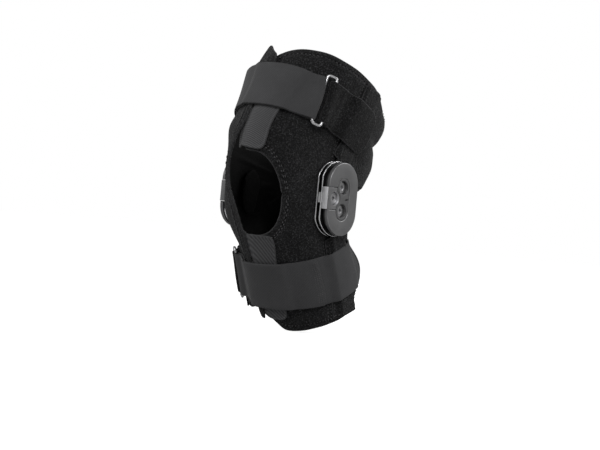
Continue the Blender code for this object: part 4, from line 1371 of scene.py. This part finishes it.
def turn_round(bar, direction, radius, centre, start, end, count=13):
    """Rows of (phi, h) round a ring's bar: 0 is under it and 180 above it."""
    reach = direction * radius / round_limb(*at_centre(bar, centre))
    turns = np.radians(np.linspace(start, end, count))
    return [(bar + reach * math.sin(t), RING_HEIGHT - radius * math.cos(t)) for t in turns]


def run(start, end, height, step=2.0):
    count = max(2, int(abs(end - start) / step))
    return [(phi, float(height(phi))) for phi in np.linspace(start, end, count + 1)]


def make_strap_set(name, side, centre, base_start, tail_end, anchor_end):
    """Base band, fold round the ring, tail over the base, ring and anchor band."""
    body = "thigh" if side > 0 else "calf"
    front, back = bar_angles(side, centre)

    def skew(phi):
        return -RING_SKEW[side] * bump(phi, side * RING_MIDDLE[side], 26)

    def gather(phi):
        return -RING_GATHER[side] * bump(phi, side * RING_MIDDLE[side], 60)

    half = CLOTH / 2
    radius = WIRE + WIRE_PLAY + half
    looks = [STRAP_WEB, STRAP_WEB, STRAP_EDGE]

    def base_height(phi):
        near = smooth(1 - side * (front - phi) / 12.0)
        return (strap_ridge(phi) + half) * (1 - near) + (RING_HEIGHT - radius) * near

    def tail_height(phi):
        near = smooth(1 - side * (front - phi) / 13.0)
        over = strap_ridge(phi) + CLOTH + 0.45 + half
        return over * (1 - near) + (RING_HEIGHT + radius) * near

    def band(part, path, rounds=(0, 0)):
        shape = {"rounds": rounds, "widen": gather, "skew": skew}
        return ribbon(f"{name}_{part}", path, centre, STRAP_WIDTH, half, looks, **shape)

    base = band("base", run(base_start, front, base_height), (7, 0))
    finish(base, body, "strap", name)
    fold = band("fold", turn_round(front, side, radius, centre, 0, 180))
    lift = limb_axes(*at_centre(front, centre))[2] * radius
    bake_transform(fold)
    tail = band("loose_end", run(front, tail_end, tail_height), (0, 3))
    finish(tail, f"{name}_tail", "strap", f"{name}_tail")
    make_ring(name, side, centre)
    make_anchor(name, side, centre, back, anchor_end, body, skew, gather)


def make_ring(name, side, centre):
    """A rectangular wire ring between its two joints, turned and sunk as the photo shows it."""
    front_place, axis = joint_place(f"{name}_peel")
    back_place = joint_place(name.replace("_strap", "_ring_swing"))[0]
    out = limb_axes(*at_centre(side * RING_MIDDLE[side], centre))[2]
    middle = (front_place + back_place) / 2 - out * RING_SINK[side]
    level = axis / np.linalg.norm(axis)
    across = back_place - front_place
    across /= np.linalg.norm(across)
    turn = math.radians(RING_TURN[side])
    along = level * math.cos(turn) - across * math.sin(turn)
    around = across * math.cos(turn) + level * math.sin(turn)
    half_length = RING_HALF_LENGTH - RING_GATHER[side] - RING_CORNER
    half_width = RING_BAR - RING_CORNER
    path = []
    for quarter, (a, b) in enumerate(((1, 1), (-1, 1), (-1, -1), (1, -1))):
        start = quarter * 90
        path += arc((a * half_width, b * half_length), RING_CORNER, start, start + 90, 15)
    path = np.array(path)
    line = middle + path[:, :1] * around + path[:, 1:] * along
    item = wire_loop(f"{name}_ring_wire", line, WIRE, RING_STEEL)
    finish(item, f"{name}_ring", "ring", f"{name}_ring")


def make_anchor(name, side, centre, back, anchor_end, body, skew, gather):
    """The dark band that holds the ring: over the bar, round it and tucked under itself."""
    half = 1.0
    radius = WIRE + WIRE_PLAY + half
    # The third material, on the band's rounded edges, is a lighter cloth: a painted highlight along them.
    looks = [ANCHOR_CLOTH, ANCHOR_CLOTH, RIM_HIGHLIGHT_CLOTH]

    def flap_height(phi):
        near = smooth(1 - side * (phi - back) / 6.0)
        return (strap_ridge(phi) + half) * (1 - near) + (RING_HEIGHT - radius) * near

    def main_height(phi):
        near = smooth(1 - side * (phi - back) / 9.0)
        flap = smooth(1 - side * (phi - back - side * 9) / 6.0)
        rest = strap_ridge(phi) + half + 2.1 * flap
        return rest * (1 - near) + (RING_HEIGHT + radius) * near

    path = run(anchor_end, back, main_height)
    path += turn_round(back, -side, radius, centre, 180, 0)[1:]
    path += run(back, back + side * 8, flap_height)[1:]

    def taper(phi):
        return -1.6 * smooth((side * (phi - back) - 26) / 20) + gather(phi)

    shape = {"rounds": (11, 0), "widen": taper, "skew": skew}
    item = ribbon(f"{name}_anchor_band", path, centre, ANCHOR_WIDTH, half, looks, **shape)
    finish(item, body, "anchor", f"{name}_anchor")


def make_soft_fittings():
    for side, name in ((1, "lateral"), (-1, "medial")):
        make_pocket(f"{name}_thigh_pocket", side, 1, "thigh")
        make_pocket(f"{name}_calf_pocket", side, -1, "calf")
        make_condyle_pad(f"{name}_condyle_pad")
    make_tab("upper_tab", UPPER_TAB, "thigh", "upper_closure_tab")
    make_tab("lower_tab", LOWER_TAB, "calf", "lower_closure_tab")
    make_strap_set("thigh_strap", 1, thigh_centre, base_start=-118, tail_end=-88, anchor_end=102)
    make_strap_set("calf_strap", -1, calf_centre, base_start=122, tail_end=66, anchor_end=-110)


# ---- stitching ----------------------------------------------------------------------------------


def surface_height(phi, s):
    """Outside of the wrap at one place, away from its edges."""
    phi, s = np.array([phi]), np.array([s])
    far = np.array([9.0])
    return float((wrap_inner(phi, s, far) + wrap_thickness(phi, s, far))[0])


def beyond_opening(distance):
    """A row of thread round the kneecap opening, at a distance outside its edge."""
    spokes = opening_edge(-80, 90) - OPENING_CENTRE
    return spokes * (1 + distance / np.linalg.norm(spokes, axis=1, keepdims=True)) + OPENING_CENTRE


def wrap_stitching():
    """Rows of thread along the wrap's hems, its side seams and the kneecap opening."""
    shared = [beyond_opening(distance) for distance in OPENING_ROWS]
    shared.append(curve_through(INNER_EDGE) - (FRONT_ROW, 0))
    for name, hem, seam, half in (
        ("upper_wrap_thread", (*TOP_RIM, *TOP_BACK[:7]), SIDE_SEAM_TOP, 1),
        ("lower_wrap_thread", (*LOW_RIM, *LOW_BACK[:7]), SIDE_SEAM_LOW, -1),
    ):
        lines = [line[line[:, 1] * half > 1.5] for line in shared]
        lines.append(curve_through(hem) - (0, HEM_ROW * half))
        lines += [np.array(seam) + (beside, 0) for beside in SEAM_ROWS]
        item = stitch_piece(name, lines, surface_height)
        bend(item, half)


def fitting_stitching():
    """Rows of thread round the pockets, and the zigzag that ends the calf strap's tail."""
    for half, body in ((1, "thigh"), (-1, "calf")):

        def pocket_top(phi, s):
            return float(bar_cover(np.array([phi]), np.array([s]), half)[0]) + 0.95

        for side, name in ((1, "lateral"), (-1, "medial")):
            row = offset_line(pocket_loop(half, side), POCKET_ROW)
            row = np.vstack([row, row[:1]])
            item = stitch_piece(f"{name}_{body}_pocket_thread", [row], pocket_top)
            finish(item, body, "pocket")

    def tail_top(phi, s):
        return float(strap_ridge(phi)) + 2 * CLOTH + 0.5

    s = np.arange(-101.5, -57.5, 1.1)
    zigzag = 0.9 * (np.arange(len(s)) % 2 * 2 - 1)
    rows = [np.stack([middle + zigzag, s], -1) for middle in (58.5, 61.0, 63.5)]
    item = stitch_piece("calf_strap_tail_thread", rows, tail_top)
    finish(item, "calf_strap_tail", "strap")


def stitch_piece(name, lines, height):
    points, faces = [], []
    for line in lines:
        if len(line) > 2:
            add_stitches(points, faces, line, height)
    return point_out(mesh_piece(name, points, faces, [THREAD], sharp=180))


make_hinge(1, "lateral")
make_hinge(-1, "medial")
make_soft_fittings()
wrap_stitching()
fitting_stitching()

# ---- light, floor and camera ----------------------------------------------------------------


def make_stage():
    """A wide pale floor that is white to the camera and grey to the light."""
    floor_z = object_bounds()[0][2] - 0.001
    mesh = bpy.data.meshes.new("floor")
    size = 6.0
    corners = [(x * size, y * size, floor_z) for x, y in ((-1, -1), (1, -1), (1, 1), (-1, 1))]
    mesh.from_pydata(corners, [], [(0, 1, 2, 3)])
    floor = put("floor", mesh)
    material, tree, shader = new_material("pale_floor")
    grain = noise(tree, object_coordinates(tree), 40, 2.0, 0.5)
    seen = new_node(tree, "LightPath", {}).outputs["Is Camera Ray"]
    fill(tree, shader, {
        "Base Color": ramp(tree, grain, 0.3, 0.7, grey(0.5, 1.0), grey(0.52, 1.0)),
        "Roughness": 0.9,
        "Specular IOR Level": 0.0,
        "Emission Strength": math_node(tree, "MULTIPLY", seen, 0.84),
        "Emission Color": grey(1.0, 1.0),
    })
    mesh.materials.append(material)


def area_light(name, place, size, power):
    light = bpy.data.lights.new(name, "AREA")
    light.size = size
    light.energy = power
    item = put(name, light)
    item.location = place
    item.rotation_euler = (-Vector(place)).to_track_quat("-Z", "Y").to_euler()


def make_lights():
    world = bpy.data.worlds.new("studio")
    world.use_nodes = True
    tree = world.node_tree
    seen = new_node(tree, "LightPath", {}).outputs["Is Camera Ray"]
    strength = remap(tree, seen, 0, 1, 0.38, 1.0)
    fill(tree, tree.nodes["Background"], {"Color": (1, 1, 1, 1), "Strength": strength})
    bpy.context.scene.world = world
    area_light("key_light", (1.1, -1.0, 1.2), 0.9, 26)
    area_light("left_light", (-1.3, -0.9, 0.7), 0.9, 14)
    area_light("rim_light", (0.9, 1.2, 0.9), 0.7, 16)


def make_camera():
    """Seen from the front and outer side, a little above, with the brace leaning forward."""
    forward_lean = math.radians(8)
    azimuth = math.radians(40)
    elevation = math.radians(5)
    distance = 1300.0
    level = math.cos(elevation)
    back = Vector((math.sin(azimuth) * level, -math.cos(azimuth) * level, math.sin(elevation)))
    right = Vector((0, 0, 1)).cross(back).normalized()
    up = back.cross(right)
    unlean = Matrix.Rotation(forward_lean, 3, "X")
    axes = Matrix((unlean @ right, unlean @ up, unlean @ back)).transposed()
    data = bpy.data.cameras.new("camera")
    data.lens = 74.65
    data.shift_x = 0.0208
    data.shift_y = -0.0492
    data.clip_start = 0.05
    camera = put("camera", data)
    place = Vector(KNEE) + (unlean @ back) * distance
    camera.matrix_world = Matrix.Translation(place * MM) @ axes.to_4x4()
    bpy.context.scene.camera = camera


make_stage()
make_lights()
make_camera()
bpy.context.scene.view_settings.view_transform = "Standard"
